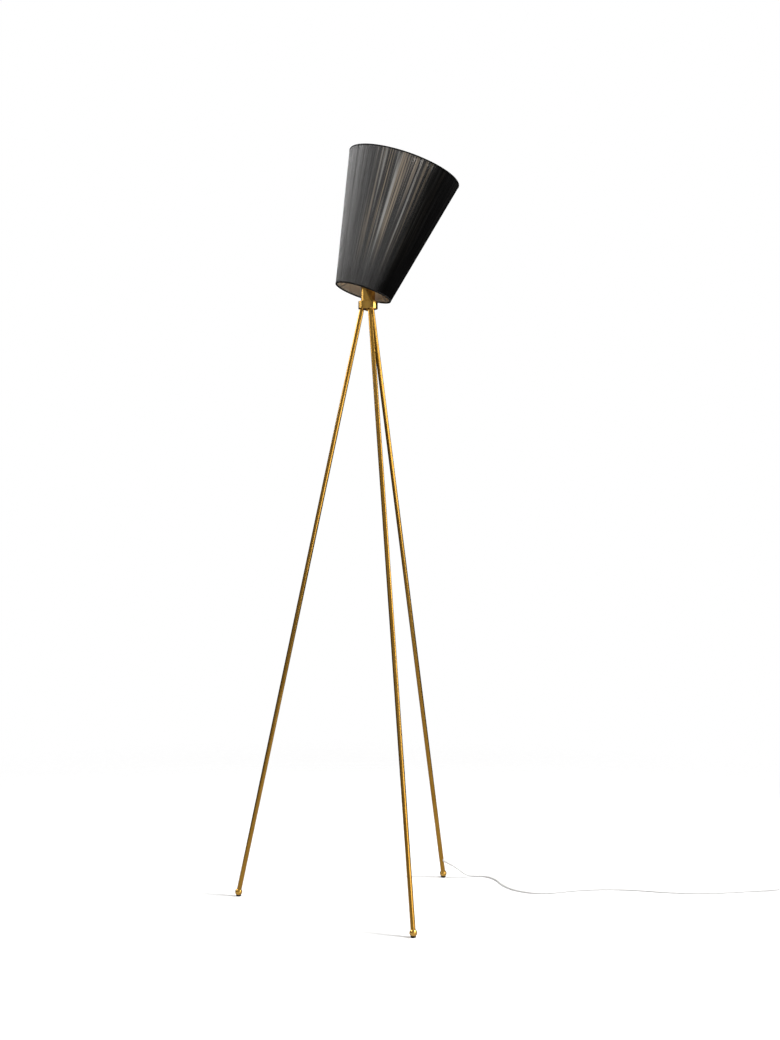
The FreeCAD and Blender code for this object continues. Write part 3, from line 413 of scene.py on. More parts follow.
def dust_group():
    """A thin settled dust: more where the surface faces up, broken up by noise."""
    group, add, take = new_group("dust", Vector=None, Amount=0.3)
    normal = add("NewGeometry").outputs["Normal"]
    up = ramp(add, add("SeparateXYZ", Vector=normal).outputs["Z"], (-0.2, 1))
    specks = add("TexNoise", Vector=take["Vector"], Scale=900.0, Detail=3.0)
    patchy = maths(add, "MULTIPLY", up, specks.outputs["Fac"])
    return giving(group, "Mask", maths(add, "MULTIPLY", patchy, take["Amount"]))


GROUPS = {"cloudiness": cloudiness_group(), "fine_lines": fine_lines_group(),
          "ribbed_tape": ribbed_tape_group(), "dust": dust_group()}
print("node groups", sorted(GROUPS))

# %% [markdown]
# A finish is a Principled shader with its even values on its own sockets, and its uneven ones
# made by the groups: two tones mixed by a mask, a roughness that moves between two values by the
# same mask, and a bump. One helper wires these, so each finish is only its own numbers.

# %% A helper for finishes
DUST_TONE = (0.45, 0.43, 0.40)


def use_group(add, name, **inputs):
    """What one shared group gives out in a material, with its inputs linked or filled by name."""
    return add("Group", {"node_tree": GROUPS[name]}, **inputs).outputs[0]


def finish(name, tones, rough, height, depth, clouds, dust=0.0, on_map=False, **even):
    """A Principled finish.

    tones and rough are pairs that a cloudy mask moves between, and clouds is its scale.
    height(add, place) gives the bump, and depth is its depth in metres. on_map lays all of it on
    the piece's own map. even holds the values that are the same all over.
    """
    paint = bpy.data.materials.new(name)
    add = emptied(paint)
    place = add("UVMap").outputs["UV"] if on_map else add("TexCoord").outputs["Object"]
    cloud = use_group(add, "cloudiness", Vector=place, Scale=clouds)
    colour = mixed(add, cloud, *tones)
    if dust:
        colour = mixed(add, use_group(add, "dust", Vector=place, Amount=dust), colour, DUST_TONE)
    bump = add("Bump", Height=height(add, place), Strength=1.0, Distance=depth)
    shader = add("BsdfPrincipled", Base_Color=colour, Roughness=ramp(add, cloud, gives=rough),
                 Normal=bump.outputs["Normal"], **even)
    add("OutputMaterial", Surface=shader.outputs[0])
    return paint


def give(paint, *names):
    """The finish on these CAD nodes."""
    for name in names:
        for slot in nodes[name].material_slots:
            slot.material = paint


# %% [markdown]
# The metal is brass with a satin finish, lacquered but handled: fine lines run along the drawn
# tubes and round the turned pieces, and slow clouds make it deeper and duller here and there.
# The tubes get a darker, browner copy of the same brass, as painted shade. Every tube
# leans its own way, so the lines' direction is turned to each tube.

# %% Brass
BRASS_PALE = (0.66, 0.395, 0.10)
BRASS_DEEP = (0.55, 0.31, 0.06)
# The next two tones are the tubes' brass painted darker and browner, as painted shade.
PAINTED_SHADE_TUBE_PALE = (0.45, 0.25, 0.05)
PAINTED_SHADE_TUBE_DEEP = (0.33, 0.17, 0.025)
LEG_TOP_SHARE = 0.95


def lines_along(direction):
    """A height that runs in fine lines along a direction: the coordinates are turned to it."""
    turn = Vector((0, 0, 1)).rotation_difference(direction).inverted().to_euler()

    def height(add, place):
        turned = add("Mapping", Vector=place, Rotation=turn)
        return use_group(add, "fine_lines", Vector=turned.outputs[0], Across=(2600, 2600, 14))

    return height


def lines_round(add, place):
    """A height that runs in fine rings round an upright piece."""
    return use_group(add, "fine_lines", Vector=place, Across=(25, 25, 3600))


def grainy(scale):
    """A fine moulded or cast grain."""
    def height(add, place):
        return add("TexNoise", Vector=place, Scale=scale, Detail=3.0).outputs["Fac"]

    return height


def leg_direction(name):
    """The way that a leg runs: from its ball's middle to its top, LEG_TOP_SHARE of the way in."""
    foot = middle_of("foot_ball_" + name)
    low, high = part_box("leg_" + name)
    top_x = high.x if foot.x < AXIS.x else low.x
    return Vector((top_x - foot.x, (AXIS.y - foot.y) * LEG_TOP_SHARE,
                   high.z - foot.z)).normalized()


for leg in ("rear", "left", "front"):
    tube_finish = finish("painted_shade_satin_brass_tube_" + leg, (PAINTED_SHADE_TUBE_DEEP, PAINTED_SHADE_TUBE_PALE), (0.27, 0.21),
                         lines_along(leg_direction(leg)), depth=0.00001, clouds=9.0, Metallic=1.0)
    give(tube_finish, "leg_" + leg)
turned_brass = finish("satin_brass_turned", (BRASS_DEEP, BRASS_PALE), (0.24, 0.18), lines_round,
                      depth=0.00001, clouds=30.0, Metallic=1.0)
give(turned_brass, "foot_ball_rear", "foot_ball_left", "foot_ball_front", "hub_body", "hub_cover",
     "hub_cap", "holder_base", "holder_sleeve")
print("brass on", [name for name, node in nodes.items()
                   if node.active_material and "brass" in node.active_material.name])

# %% [markdown]
# Every new piece below is a grid of points worked out with numpy: a shape is a function of two
# parameters, and one helper turns the grid into a mesh with a UV map of those same parameters.
# A closed grid has an inside, so its volume's sign tells which way its faces look, and the
# helper turns them outward.

# %% A helper for surfaces
def mesh_with_map(name, points, faces, uv):
    """A smooth-shaded mesh, with a UV map called surface that gives each point its two numbers."""
    mesh = bpy.data.meshes.new(name)
    mesh.from_pydata(points.tolist(), [], faces)
    corners = np.empty(len(mesh.loops), dtype=np.int32)
    mesh.loops.foreach_get("vertex_index", corners)
    mesh.uv_layers.new(name="surface").data.foreach_set("uv", uv[corners].ravel())
    mesh.polygons.foreach_set("use_smooth", np.ones(len(mesh.polygons), dtype=bool))
    mesh.update()
    return mesh


def band_of_quads(index, axis):
    """The quads between each row of vertex numbers and the next one, where rows follow an axis."""
    here = index.take(range(index.shape[axis] - 1), axis)
    above = index.take(range(1, index.shape[axis]), axis)
    return np.stack([here, np.roll(here, -1, axis=axis + 1), np.roll(above, -1, axis=axis + 1),
                     above], axis=-1).reshape(-1, 4)


def surface(name, grid, body, replaced, paint, uv=None, wrap_rows=True):
    """A mesh from a grid of points, shape (rows, columns, 3), that stands in for CAD nodes.

    The columns always close on themselves, and the rows do if wrap_rows is set, as a tube's wall
    does. Without it the first and last rows are closed by a fan, as a rod's ends are. uv is a grid
    of the same shape with two numbers a point, and is the row's and column's share by default.
    """
    rows, columns = grid.shape[:2]
    index = np.arange(rows * columns).reshape(rows, columns)
    quads = band_of_quads(np.concatenate([index, index[:1]]) if wrap_rows else index, 0)
    points = grid.reshape(-1, 3)
    shares = np.stack(np.meshgrid(np.arange(columns) / columns, np.arange(rows) / rows), axis=-1)
    flat_uv = (shares if uv is None else uv).reshape(-1, 2)
    faces = [quads]
    if not wrap_rows:
        points = np.concatenate([points, grid[[0, -1]].mean(axis=1)])
        flat_uv = np.concatenate([flat_uv, flat_uv[[0, -1]]])
        for ring, tip in ((index[0], rows * columns), (index[-1, ::-1], rows * columns + 1)):
            faces.append(np.stack([ring, np.full(columns, tip), np.roll(ring, -1)], axis=-1))
    triangles = np.concatenate([quads[:, [0, 1, 2]], quads[:, [0, 2, 3]]])
    a, b, c = (points[triangles[:, k]] for k in range(3))
    volume = np.einsum("ij,ij->i", a, np.cross(b, c)).sum()
    if volume < 0:
        faces = [group[:, ::-1] for group in faces]
    mesh = mesh_with_map(name, points, [face for group in faces for face in group.tolist()],
                         flat_uv)
    mesh.materials.append(paint)
    piece = placed(name, mesh)
    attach(piece, body)
    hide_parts(*replaced)
    print(name, "faces", len(mesh.polygons), "volume sign", "out" if volume > 0 else "turned")
    return piece


# %% [markdown]
# The shade leans, so its pieces are worked out upright about its own axis and then placed. The
# axis runs through the middles of its two wire rings, and the tilt joint gives the direction
# across it. Its radii are read from the exact cones, so the finer pieces fit where those were.

# %% The shade's own axis and radii
ALONG = (middle_of("upper_wire_ring") - middle_of("lower_wire_ring")).normalized()
SIDE = Vector(joints["shade_tilt"]["axis"]).normalized()
ACROSS = SIDE.cross(ALONG).normalized()
SHADE_AXES = np.array([ACROSS, SIDE, ALONG])
NEAR = 0.1 * MM


def on_shade(points):
    """Points about the upright shade's axis, with 0 at its pivot, moved to where the shade is."""
    return points @ SHADE_AXES + np.array(PIVOT)


def cone_of(name):
    """Heights of a cone node's two ends, and its outer and inner radius at each."""
    local = (vertices_of(name) - np.array(PIVOT)) @ SHADE_AXES.T
    radius = np.hypot(local[:, 0], local[:, 1])
    low, high = local[:, 2].min(), local[:, 2].max()
    ends = radius[local[:, 2] < low + NEAR], radius[local[:, 2] > high - NEAR]
    return {"low": low, "high": high, "outer": [end.max() for end in ends],
            "inner": [end.min() for end in ends]}


def angles_round(count):
    """Evenly spaced angles for one full turn."""
    return np.arange(count) / count * FULL_TURN


def round_points(radius, angle, height):
    """Points at a radius, an angle and a height, as arrays of any matching shapes."""
    return np.stack(np.broadcast_arrays(radius * np.cos(angle), radius * np.sin(angle), height),
                    axis=-1)


threads_cone = cone_of("shade_threads")
lining_cone = cone_of("shade_lining")
print("threads", {key: np.round(np.array(value) / MM, 2).tolist()
                  for key, value in threads_cone.items()})

# %% [markdown]
# The shade is wound, not woven: one long thread runs from rim to rim, turn beside turn, nearly
# nine hundred times. A flat cone with a stripe painted on it would show no gloss between the
# threads, so each turn is a real ridge here. The ridges are a wave in the radius as the angle
# goes round, and each turn has its own small lift and slip, because no winding is perfect.
#
# A second, loose layer lies over it: some turns crossed others as they were wound, so a few
# hundred strands run at a slight slant over the rest, and gather the light in streaks.

# %% The winding
TURNS = 864
STEPS_PER_TURN = 4
RIDGE = 0.32 * MM
LIFT = 0.08 * MM
SLIP = math.radians(0.9)
LOOSE_STRANDS = 300
STRAND_R = 0.2 * MM
STRAND_SLANT_DEGREES = 1.6
WINDING_SEED, STRANDS_SEED = 7, 11


def smooth_noise(rng, count, waves):
    """A smooth random value for each of count places round a circle: a sum of some sine waves."""
    angle = np.linspace(0, 2 * np.pi, count, endpoint=False)
    sizes = rng.normal(size=waves) / np.sqrt(np.arange(1, waves + 1))
    starts = rng.uniform(0, 2 * np.pi, size=waves)
    order = np.arange(1, waves + 1)
    total = (sizes[:, None] * np.sin(order[:, None] * angle + starts[:, None])).sum(axis=0)
    return total / np.abs(total).max()


def winding_grid():
    """The wound cone: radius = cone(height) - ridge depth * (1 - round of the place across a turn).

    The angle slips a little with the height by a smooth random amount, so bundles lean.
    """
    rng = np.random.default_rng(WINDING_SEED)
    columns = TURNS * STEPS_PER_TURN
    across = np.tile(np.arange(STEPS_PER_TURN) / STEPS_PER_TURN, TURNS)
    round_top = np.sqrt(1 - (2 * across - 1) ** 2)
    lift = np.repeat(rng.uniform(-0.35, 0.35, TURNS), STEPS_PER_TURN)
    angle = angles_round(columns)
    slip = SLIP * smooth_noise(rng, columns, 40)
    share = np.concatenate([[0], np.linspace(0.002, 0.998, 10), [1]])[:, None]
    ends = share[[-1, 0]]
    outer = np.interp(share, (0, 1), threads_cone["outer"])
    inner = np.interp(ends, (0, 1), threads_cone["inner"])
    height = threads_cone["low"] + share * (threads_cone["high"] - threads_cone["low"])
    radius = outer - RIDGE * (1 - round_top) + LIFT * lift
    wall = round_points(radius, angle + slip * (share - 0.5), height)
    back = round_points(inner, angle + slip * (ends - 0.5), height[[-1, 0]])
    uv = np.broadcast_arrays(np.arange(columns) / columns, np.concatenate([share, ends]))
    return on_shade(np.concatenate([wall, back])), np.stack(uv, axis=-1)


def loose_strands(paint):
    """Thin round strands over the winding, each at its own slant, ending under the tapes."""
    rng = np.random.default_rng(STRANDS_SEED)
    start = rng.uniform(0, 2 * np.pi, LOOSE_STRANDS)
    slant = np.radians(rng.normal(0, STRAND_SLANT_DEGREES, LOOSE_STRANDS))
    rows, sides = 9, 6
    share = np.linspace(0.002, 0.998, rows)
    angle = start[:, None] + slant[:, None] * share
    outer = np.interp(share, (0, 1), threads_cone["outer"]) + 0.05 * MM
    height = threads_cone["low"] + share * (threads_cone["high"] - threads_cone["low"])
    turn = angles_round(sides)
    radial = outer[None, :, None] + STRAND_R * np.cos(turn)
    sideways = STRAND_R * np.sin(turn) / outer[None, :, None]
    points = on_shade(round_points(radial, angle[:, :, None] + sideways, height[None, :, None]))
    index = np.arange(LOOSE_STRANDS * rows * sides).reshape(LOOSE_STRANDS, rows, sides)
    ends = np.concatenate([index[:, 0, ::-1], index[:, -1]])
    uv = np.stack([np.broadcast_to(angle[:, :, None] / (2 * np.pi) % 1, index.shape),
                   np.broadcast_to(share[None, :, None], index.shape)], axis=-1).reshape(-1, 2)
    mesh = mesh_with_map("loose_strands", points.reshape(-1, 3),
                         band_of_quads(index, 1).tolist() + ends.tolist(), uv)
    mesh.materials.append(paint)
    strands = placed("loose_strands", mesh)
    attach(strands, "shade")
    print("loose strands", LOOSE_STRANDS, "faces", len(mesh.polygons))


# %% [markdown]
# The thread is a black silky yarn. Its colour is nearly black where the turns lie thick, and
# warmer and paler where they lie thin, because the lining shows between them. Those places
# follow the turns, so their pattern is drawn on the surface's own map, stretched from rim to rim:
# broad bands, narrower streaks in them, and hairlines one turn wide.

# %% Thread finish
THIN_SIDE = math.atan2(-SIDE.y, -ACROSS.y) / FULL_TURN % 1
THICK_TONE = (0.035, 0.034, 0.034)
# The next tone is painted sheen: grey streaks in the thread's colour stand in for its gloss.
PAINTED_SHEEN_TONE = (0.20, 0.195, 0.19)
THIN_TONE = (0.42, 0.34, 0.25)
# The next tone is painted highlights: pale glints in the upper part of the shade.
PAINTED_GLINT_TONE = (0.6, 0.59, 0.565)
# The next two tones are painted light, greying one side, and painted shade, blackening the other.
PAINTED_LIGHT_TONE = (0.13, 0.128, 0.127)
PAINTED_SHADE_TONE = (0.0015, 0.0015, 0.0015)


def ranged(add, value, low, high):
    """A value's smooth rise from 0 at low to 1 at high."""
    return ramp(add, value, (low, high), curve="SMOOTHSTEP")


def product(add, first, second):
    """Two values multiplied, where either may be a plain number."""
    return maths(add, "MULTIPLY", first, second)


def streak(add, place, across, along, low, high, start=0.0):
    """Streaks: noise across the turns, nearly even along them, sharpened between two levels."""
    scaled = add("Mapping", Vector=place, Scale=(across, along, 1.0), Location=(start, 0, 0))
    noise = add("TexNoise", Vector=scaled.outputs[0], Scale=1.0, Detail=2.0)
    return ranged(add, noise.outputs["Fac"], low, high)


def thread_finish(name):
    """Nearly black, with painted sheen in grey streaks, painted glints, and warm where the lining
    shows through.

    The turns lie thinnest on one side of the cone, THIN_SIDE of a full round from its start, and
    in the upper two thirds, where they spread; the painted glints sit there too. To one side of it
    the thread is painted greyer, as painted light, and to the other it is painted deep black and
    loses its gloss and sheen, as painted shade. Both of those die away towards the back, so they
    meet there with no edge between them.
    """
    paint = bpy.data.materials.new(name)
    add = emptied(paint)
    place = add("UVMap").outputs["UV"]
    split = add("SeparateXYZ", Vector=place).outputs
    bands = streak(add, place, 30, 0.5, 0.38, 0.58, start=3.3)
    streaks = streak(add, place, 190, 0.9, 0.44, 0.62, start=20.9)
    # Where the painted highlights go.
    bright = streak(add, place, 110, 0.7, 0.55, 0.69, start=14.8)
    hairs = streak(add, place, 700, 2.0, 0.35, 0.75)
    offset = maths(add, "SUBTRACT", split["X"], THIN_SIDE)
    way_round = maths(add, "WRAP", offset, 0.5, -0.5)
    # One side is painted deep black as painted shade, and the other greyer as painted light.
    painted_shade_side = product(add, ranged(add, way_round, -0.03, 0.11),
                        ranged(add, way_round, 0.5, 0.28))
    painted_light_side = product(add, ranged(add, way_round, -0.03, -0.14),
                         ranged(add, way_round, -0.5, -0.28))
    thin_side = ranged(add, maths(add, "ABSOLUTE", offset), 0.16, 0.05)
    upper = product(add, ranged(add, split["Y"], 0.08, 0.55), thin_side)
    thin_places = product(add, product(add, bands, streaks), upper)
    # Painted sheen: grey streaks mixed into the colour stand in for the thread's gloss.
    colour = mixed(add, product(add, streaks, hairs), THICK_TONE, PAINTED_SHEEN_TONE)
    # Over it: lining showing where the turns lie thin, painted highlights, painted light, painted
    # shade.
    for mask, share, tone in ((thin_places, 1.0, THIN_TONE),
                              (product(add, bright, upper), 0.9, PAINTED_GLINT_TONE),
                              (painted_light_side, 0.75, PAINTED_LIGHT_TONE), (painted_shade_side, 0.96, PAINTED_SHADE_TONE)):
        colour = mixed(add, product(add, mask, share), colour, tone)
    twist = add("Mapping", Vector=place, Scale=(2600, 900, 1), Rotation=(0, 0, 0.6))
    fibres = add("TexNoise", Vector=twist.outputs[0], Scale=1.0, Detail=1.0)
    bump = add("Bump", Height=fibres.outputs["Fac"], Strength=0.6, Distance=0.0001)
    # On the painted-shade side the gloss and sheen are turned off too, so that side stays dark.
    shader = add("BsdfPrincipled", Base_Color=colour, Roughness=ramp(add, hairs, gives=(0.3, 0.42)),
                 Specular_IOR_Level=ramp(add, painted_shade_side, gives=(0.6, 0.0)),
                 Sheen_Weight=ramp(add, painted_shade_side, gives=(0.7, 0.0)), Sheen_Roughness=0.45,
                 Normal=bump.outputs["Normal"])
    add("OutputMaterial", Surface=shader.outputs[0])
    return paint


print("thin side", round(THIN_SIDE, 3))
black_thread = thread_finish("black_silky_thread")
grid, uv = winding_grid()
surface("shade_winding", grid, "shade", ("shade_threads",), black_thread, uv)
loose_strands(black_thread)

# %% [markdown]
# A stiff film backs the thread. It is one sheet rolled into a cone, so its ends lap over each
# other by a finger's width: the radius shrinks by the film's thickness over the last stretch of
# the turn. A closed cone would hide that seam, and the seam is what a look inside shows first.

# %% Lining
FILM = 0.35 * MM
FILM_GAP = 0.02 * MM
LAP = math.radians(14)
SEAM_AT = math.radians(95)
FILM_TONES = ((0.66, 0.56, 0.45), (0.76, 0.66, 0.54))


def lining_grid():
    """A rolled sheet: its cross-section is a thin box, carried round by a full turn and a lap."""
    columns = 220
    angle = np.linspace(0, 2 * np.pi + LAP, columns)
    under = np.clip((angle - 2 * np.pi + LAP) / (1.5 * LAP), 0, 1)
    inward = (FILM * 1.15) * under * under * (3 - 2 * under)
    share = np.array([0, 0.25, 0.5, 0.75, 1, 1, 0.75, 0.5, 0.25, 0])[:, None]
    inner_side = np.repeat([0, 1], 5)[:, None]
    outer = np.interp(share, (0, 1), lining_cone["outer"])
    radius = outer - FILM * inner_side - inward - FILM_GAP
    height = lining_cone["low"] + share * (lining_cone["high"] - lining_cone["low"])
    grid = round_points(radius, angle + SEAM_AT, height)
    uv = np.stack(np.broadcast_arrays(angle / (2 * np.pi), share), axis=-1)
    return on_shade(grid).transpose(1, 0, 2), uv.transpose(1, 0, 2)


def film_height(add, place):
    """The film's faint brushed grain, along the roll."""
    scaled = add("Mapping", Vector=place, Scale=(40, 700, 1))
    return add("TexNoise", Vector=scaled.outputs[0], Scale=1.0, Detail=3.0).outputs["Fac"]


lining_film = finish("lining_film", FILM_TONES, (0.5, 0.62), film_height, depth=0.0002, clouds=5.0,
                     on_map=True)
grid, uv = lining_grid()
surface("rolled_lining", grid, "shade", ("shade_lining",), lining_film, uv,
        wrap_rows=False)

# %% [markdown]
# A black tape is folded over each rim and holds the ends of the thread. In the exact model it is
# a square channel. A real fold is round and slightly uneven, so the cross-section here is a
# channel with a round back, carried round the rim, and its edges wander by a fraction of a
# millimetre. Its fine ribs are too small to model and are a bump on its own map.

# %% Rim tapes
TAPE = 0.42 * MM
TAPE_BACK = 0.6 * MM
TAPE_TONES = ((0.004, 0.004, 0.004), (0.009, 0.0085, 0.008))


def tape_grid(node, end, seed):
    """A folded tape: out along a U's leg, round its back, down the other leg, and back inside it.

    end is 0 for the tape on the lower rim, and 1 for the upper one.
    """
    cone = cone_of(node)
    rng = np.random.default_rng(seed)
    columns = 360
    reach = cone["high"] - cone["low"]
    thick = (cone["outer"][0] - cone["inner"][0]) / 2
    bend = np.linspace(0, np.pi, 9)[1:-1]
    outer_line = [(-thick, reach), (-thick, TAPE_BACK)]
    outer_line += [(-thick * math.cos(a), TAPE_BACK * (1 - math.sin(a))) for a in bend]
    outer_line += [(thick, TAPE_BACK), (thick, reach)]
    inner_thick = thick - TAPE
    inner_line = [(inner_thick, reach), (inner_thick, TAPE + TAPE_BACK / 2), (0, TAPE),
                  (-inner_thick, TAPE + TAPE_BACK / 2), (-inner_thick, reach)]
    outline = np.array(outer_line + inner_line)
    angle = angles_round(columns)
    wander = 1 + 0.07 * smooth_noise(rng, columns, 30)
    rise = outline[:, 1:] * wander
    low, high = threads_cone["outer"]
    flare = (high - low) / (threads_cone["high"] - threads_cone["low"])
    edge = (cone["low"], cone["high"])[end]
    middle = (cone["outer"][end] + cone["inner"][end]) / 2
    height = edge + rise * (1, -1)[end]
    radius = middle - outline[:, :1] + (height - edge) * flare
    along = np.linspace(0, 1, len(outline))[:, None]
    uv = np.stack(np.broadcast_arrays(angle / (2 * np.pi), along), axis=-1)
    return on_shade(round_points(radius, angle, height)), uv


def tape_ribs(add, place):
    """The ribs across the tape."""
    return use_group(add, "ribbed_tape", Vector=place, Ribs=420.0, Picks=8.0)


black_tape = finish("black_ribbed_tape", TAPE_TONES, (0.85, 0.95), tape_ribs, depth=0.0001,
                    clouds=40.0, on_map=True, Specular_IOR_Level=0.08)
for rim, end, seed in (("lower", 0, 23), ("upper", 1, 29)):
    grid, uv = tape_grid(rim + "_trim", end, seed)
    surface(rim + "_rim_tape", grid, "shade", (rim + "_trim",), black_tape, uv)

# %% [markdown]
# The rest keeps its exact shape and gets its own finish. Each is what that piece is made of: the
# pads are black rubber with a fine grain, the screws and the threaded tube are zinc-plated, the
# bulb's cap is bright nickel, and the socket inside is white glazed ceramic. None is one even
# colour, because handling, plating and moulding all leave soft patches.

# %% Rubber, plated steel, nickel and ceramic
rubber = finish("black_rubber", ((0.012, 0.012, 0.012), (0.022, 0.021, 0.02)), (0.55, 0.75),
                height=grainy(1400.0), depth=0.0001, clouds=90.0, dust=0.2)
give(rubber, "foot_pad_rear", "foot_pad_left", "foot_pad_front")
zinc = finish("zinc_plated_steel", ((0.50, 0.50, 0.47), (0.64, 0.63, 0.58)), (0.28, 0.42),
              height=lines_round, depth=0.00001, clouds=60.0, Metallic=1.0)
give(zinc, "nipple", "nipple_nuts", "bulb_tip", "swivel_ring", "tilt_screws", "switch_screws")
nickel = finish("bright_nickel", ((0.60, 0.57, 0.51), (0.74, 0.71, 0.66)), (0.12, 0.24),
                height=lines_round, depth=0.000006, clouds=70.0, Metallic=1.0)
give(nickel, "thread_shell", "plug_pins")
contact_brass = finish("plain_contact_brass", ((0.60, 0.38, 0.10), (0.78, 0.52, 0.16)),
                       (0.25, 0.4), height=lines_round, depth=0.00001, clouds=90.0, Metallic=1.0)
give(contact_brass, "terminal_screws", "centre_contact")
ceramic = finish("white_glazed_ceramic", ((0.72, 0.71, 0.67), (0.80, 0.79, 0.75)), (0.12, 0.24),
                 height=grainy(300.0), depth=0.00006, clouds=60.0, dust=0.1, Coat_Weight=0.4)
give(ceramic, "holder_insulator")
print("pads, screws, sockets and contacts done")

# %% [markdown]
# Plastics differ by how they were moulded. The clamp rings are hard black thermoset, whose gloss
# handling has worn unevenly; the washers are waxy nylon, which lets a little light in; the switch
# and plug are glossy white with a finely sparked skin. The cord's sheath is softer and duller,
# with a grain of its own.

# %% Plastics and cord
black_plastic = finish("black_moulded_plastic", ((0.012, 0.012, 0.012), (0.024, 0.023, 0.022)),
                       (0.32, 0.5), height=grainy(900.0), depth=0.00004, clouds=60.0, dust=0.15)
nylon = finish("white_nylon", ((0.70, 0.69, 0.64), (0.80, 0.79, 0.75)), (0.4, 0.55),
               height=grainy(700.0), depth=0.00003, clouds=120.0, Subsurface_Weight=0.2,
               Subsurface_Scale=0.002)
give(nylon, "tilt_washers")
white_moulding = finish("white_moulding", ((0.78, 0.78, 0.76), (0.85, 0.85, 0.83)), (0.24, 0.36),
                        height=grainy(1100.0), depth=0.00004, clouds=45.0, dust=0.08)
give(white_moulding, "switch_base", "switch_cover", "switch_rocker")
strap = finish("white_strap", ((0.72, 0.72, 0.69), (0.80, 0.80, 0.78)), (0.4, 0.55),
               height=grainy(800.0), depth=0.00005, clouds=80.0)
give(strap, "coil_tie")
sheath = finish("white_cord_sheath", ((0.86, 0.86, 0.855), (0.92, 0.92, 0.915)), (0.38, 0.52),
                height=grainy(900.0), depth=0.00006, clouds=25.0, dust=0.06)
give(sheath, "inner_leads")
cord.data.materials.append(sheath)
print("washers, switch, strap and cord done")

# %% [markdown]
# The shade's frame is wire: two rings, and a hub with three arms. All of it is dipped in an ivory
# coat, so that it doesn't show against the lining. The coat is thin and slightly orange-peeled.

# %% Wire frame
ivory_wire = finish("ivory_coated_wire", ((0.27, 0.23, 0.18), (0.36, 0.31, 0.25)), (0.35, 0.5),
                    height=grainy(500.0), depth=0.00006, clouds=30.0)
give(ivory_wire, "lower_wire_ring", "upper_wire_ring", "spider_hub", "spider_arms")
print("ivory on the rings and the spider")

# %% [markdown]
# The bulb is a small clear globe with four upright yellow filaments round a glass stem. Clear
# glass is mostly its edges and reflections. A thin wall modelled as real glass bends light so
# little that a tinted, slightly glossy transparent skin gives the same look with far less noise,
# and its reflection is kept to what glass gives at each angle by the Fresnel node.

# %% Glass and filaments
def glass_finish(name, tint):
    """A thin clear wall: transparent, with a Fresnel share of sharp gloss and a faint haze."""
    paint = bpy.data.materials.new(name)
    add = emptied(paint)
    place = add("TexCoord").outputs["Object"]
    haze = use_group(add, "cloudiness", Vector=place, Scale=60.0)
    through = add("BsdfTransparent", Color=(*tint, 1))
    ripple = add("Bump", Height=grainy(120.0)(add, place), Strength=1.0, Distance=0.00002)
    gloss = add("BsdfGlossy", Roughness=ramp(add, haze, gives=(0.02, 0.08)),
                Normal=ripple.outputs["Normal"])
    mix = add("MixShader", Fac=add("Fresnel", IOR=1.5).outputs[0], n1=through.outputs[0],
              n2=gloss.outputs[0])
    add("OutputMaterial", Surface=mix.outputs[0])
    return paint


give(glass_finish("clear_thin_glass", (0.97, 0.98, 0.97)), "bulb_glass", "bulb_stem")
filament = finish("yellow_filament_coat", ((0.75, 0.50, 0.10), (0.85, 0.62, 0.18)), (0.45, 0.6),
                  height=grainy(1500.0), depth=0.00008, clouds=200.0)
give(filament, "filaments")
print("finishes", [paint.name for paint in bpy.data.materials])

# %% [markdown]
# Some small pieces have more shape than a turned solid shows, and each is drawn again here over
# its exact size, as a profile carried round an axis. The two clamp rings are serrated for the
# fingers, by a ripple in the radius. The cord's sleeve is cut with bending grooves, so that it
# gives little by little.

# %% Turned pieces with a ripple
def lathe(profile, base, direction, columns, ripple=None):
    """A closed profile of (radius, height) in metres, carried round an axis from a base point.

    ripple(angle, radius, height) is taken off the radius, as arrays of the grid's shape.
    """
    outline = np.array(profile)
    angle = angles_round(columns)
    height = np.broadcast_to(outline[:, 1:], (len(outline), columns))
    radius = np.broadcast_to(outline[:, :1], (len(outline), columns))
    if ripple:
        radius = radius - ripple(angle[None, :], radius, height)
    turn = np.array(Vector((0, 0, 1)).rotation_difference(Vector(direction)).to_matrix())
    return round_points(radius, angle, height) @ turn.T + np.array(base)


def inner_radius(name):
    """The smallest distance from the tripod's axis to a node's vertices."""
    points = vertices_of(name)
    return np.hypot(points[:, 0] - AXIS.x, points[:, 1] - AXIS.y).min()


TEETH = 60
TOOTH = 0.45 * MM
WALL_NEAR = 0.001 * MM


def serrated_ring(name):
    """A ring whose outer wall has rounded teeth, with plain rounded edges above and below them."""
    low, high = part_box(name)
    outer, inner = (high.x - low.x) / 2, inner_radius(name)
    tall = high.z - low.z
    edge = 0.6 * MM
    bevel = 0.3 * edge
    profile = [(inner, 0), (outer - edge, 0), (outer - bevel, bevel), (outer, edge),
               (outer, 0.5 * tall), (outer, tall - edge), (outer - bevel, tall - bevel),
               (outer - edge, tall), (inner, tall), (inner, 0.5 * tall)]

    def teeth(angle, radius, height):
        return np.where(radius > outer - WALL_NEAR, TOOTH * np.sin(TEETH * angle / 2) ** 2, 0)

    return lathe(profile, (AXIS.x, AXIS.y, low.z), (0, 0, 1), TEETH * 6, teeth)


for name in ("lower_clamp_ring", "upper_clamp_ring"):
    surface("serrated_" + name, serrated_ring(name), "tripod", (name,),
            black_plastic)

GROOVES = 5
GROOVE = 0.5 * MM
LEG_R = 4.5 * MM
NECK_R = 3.15 * MM
ROOT_R, MOUTH_R, BORE_R = 4.1 * MM, 3.3 * MM, 2.63 * MM


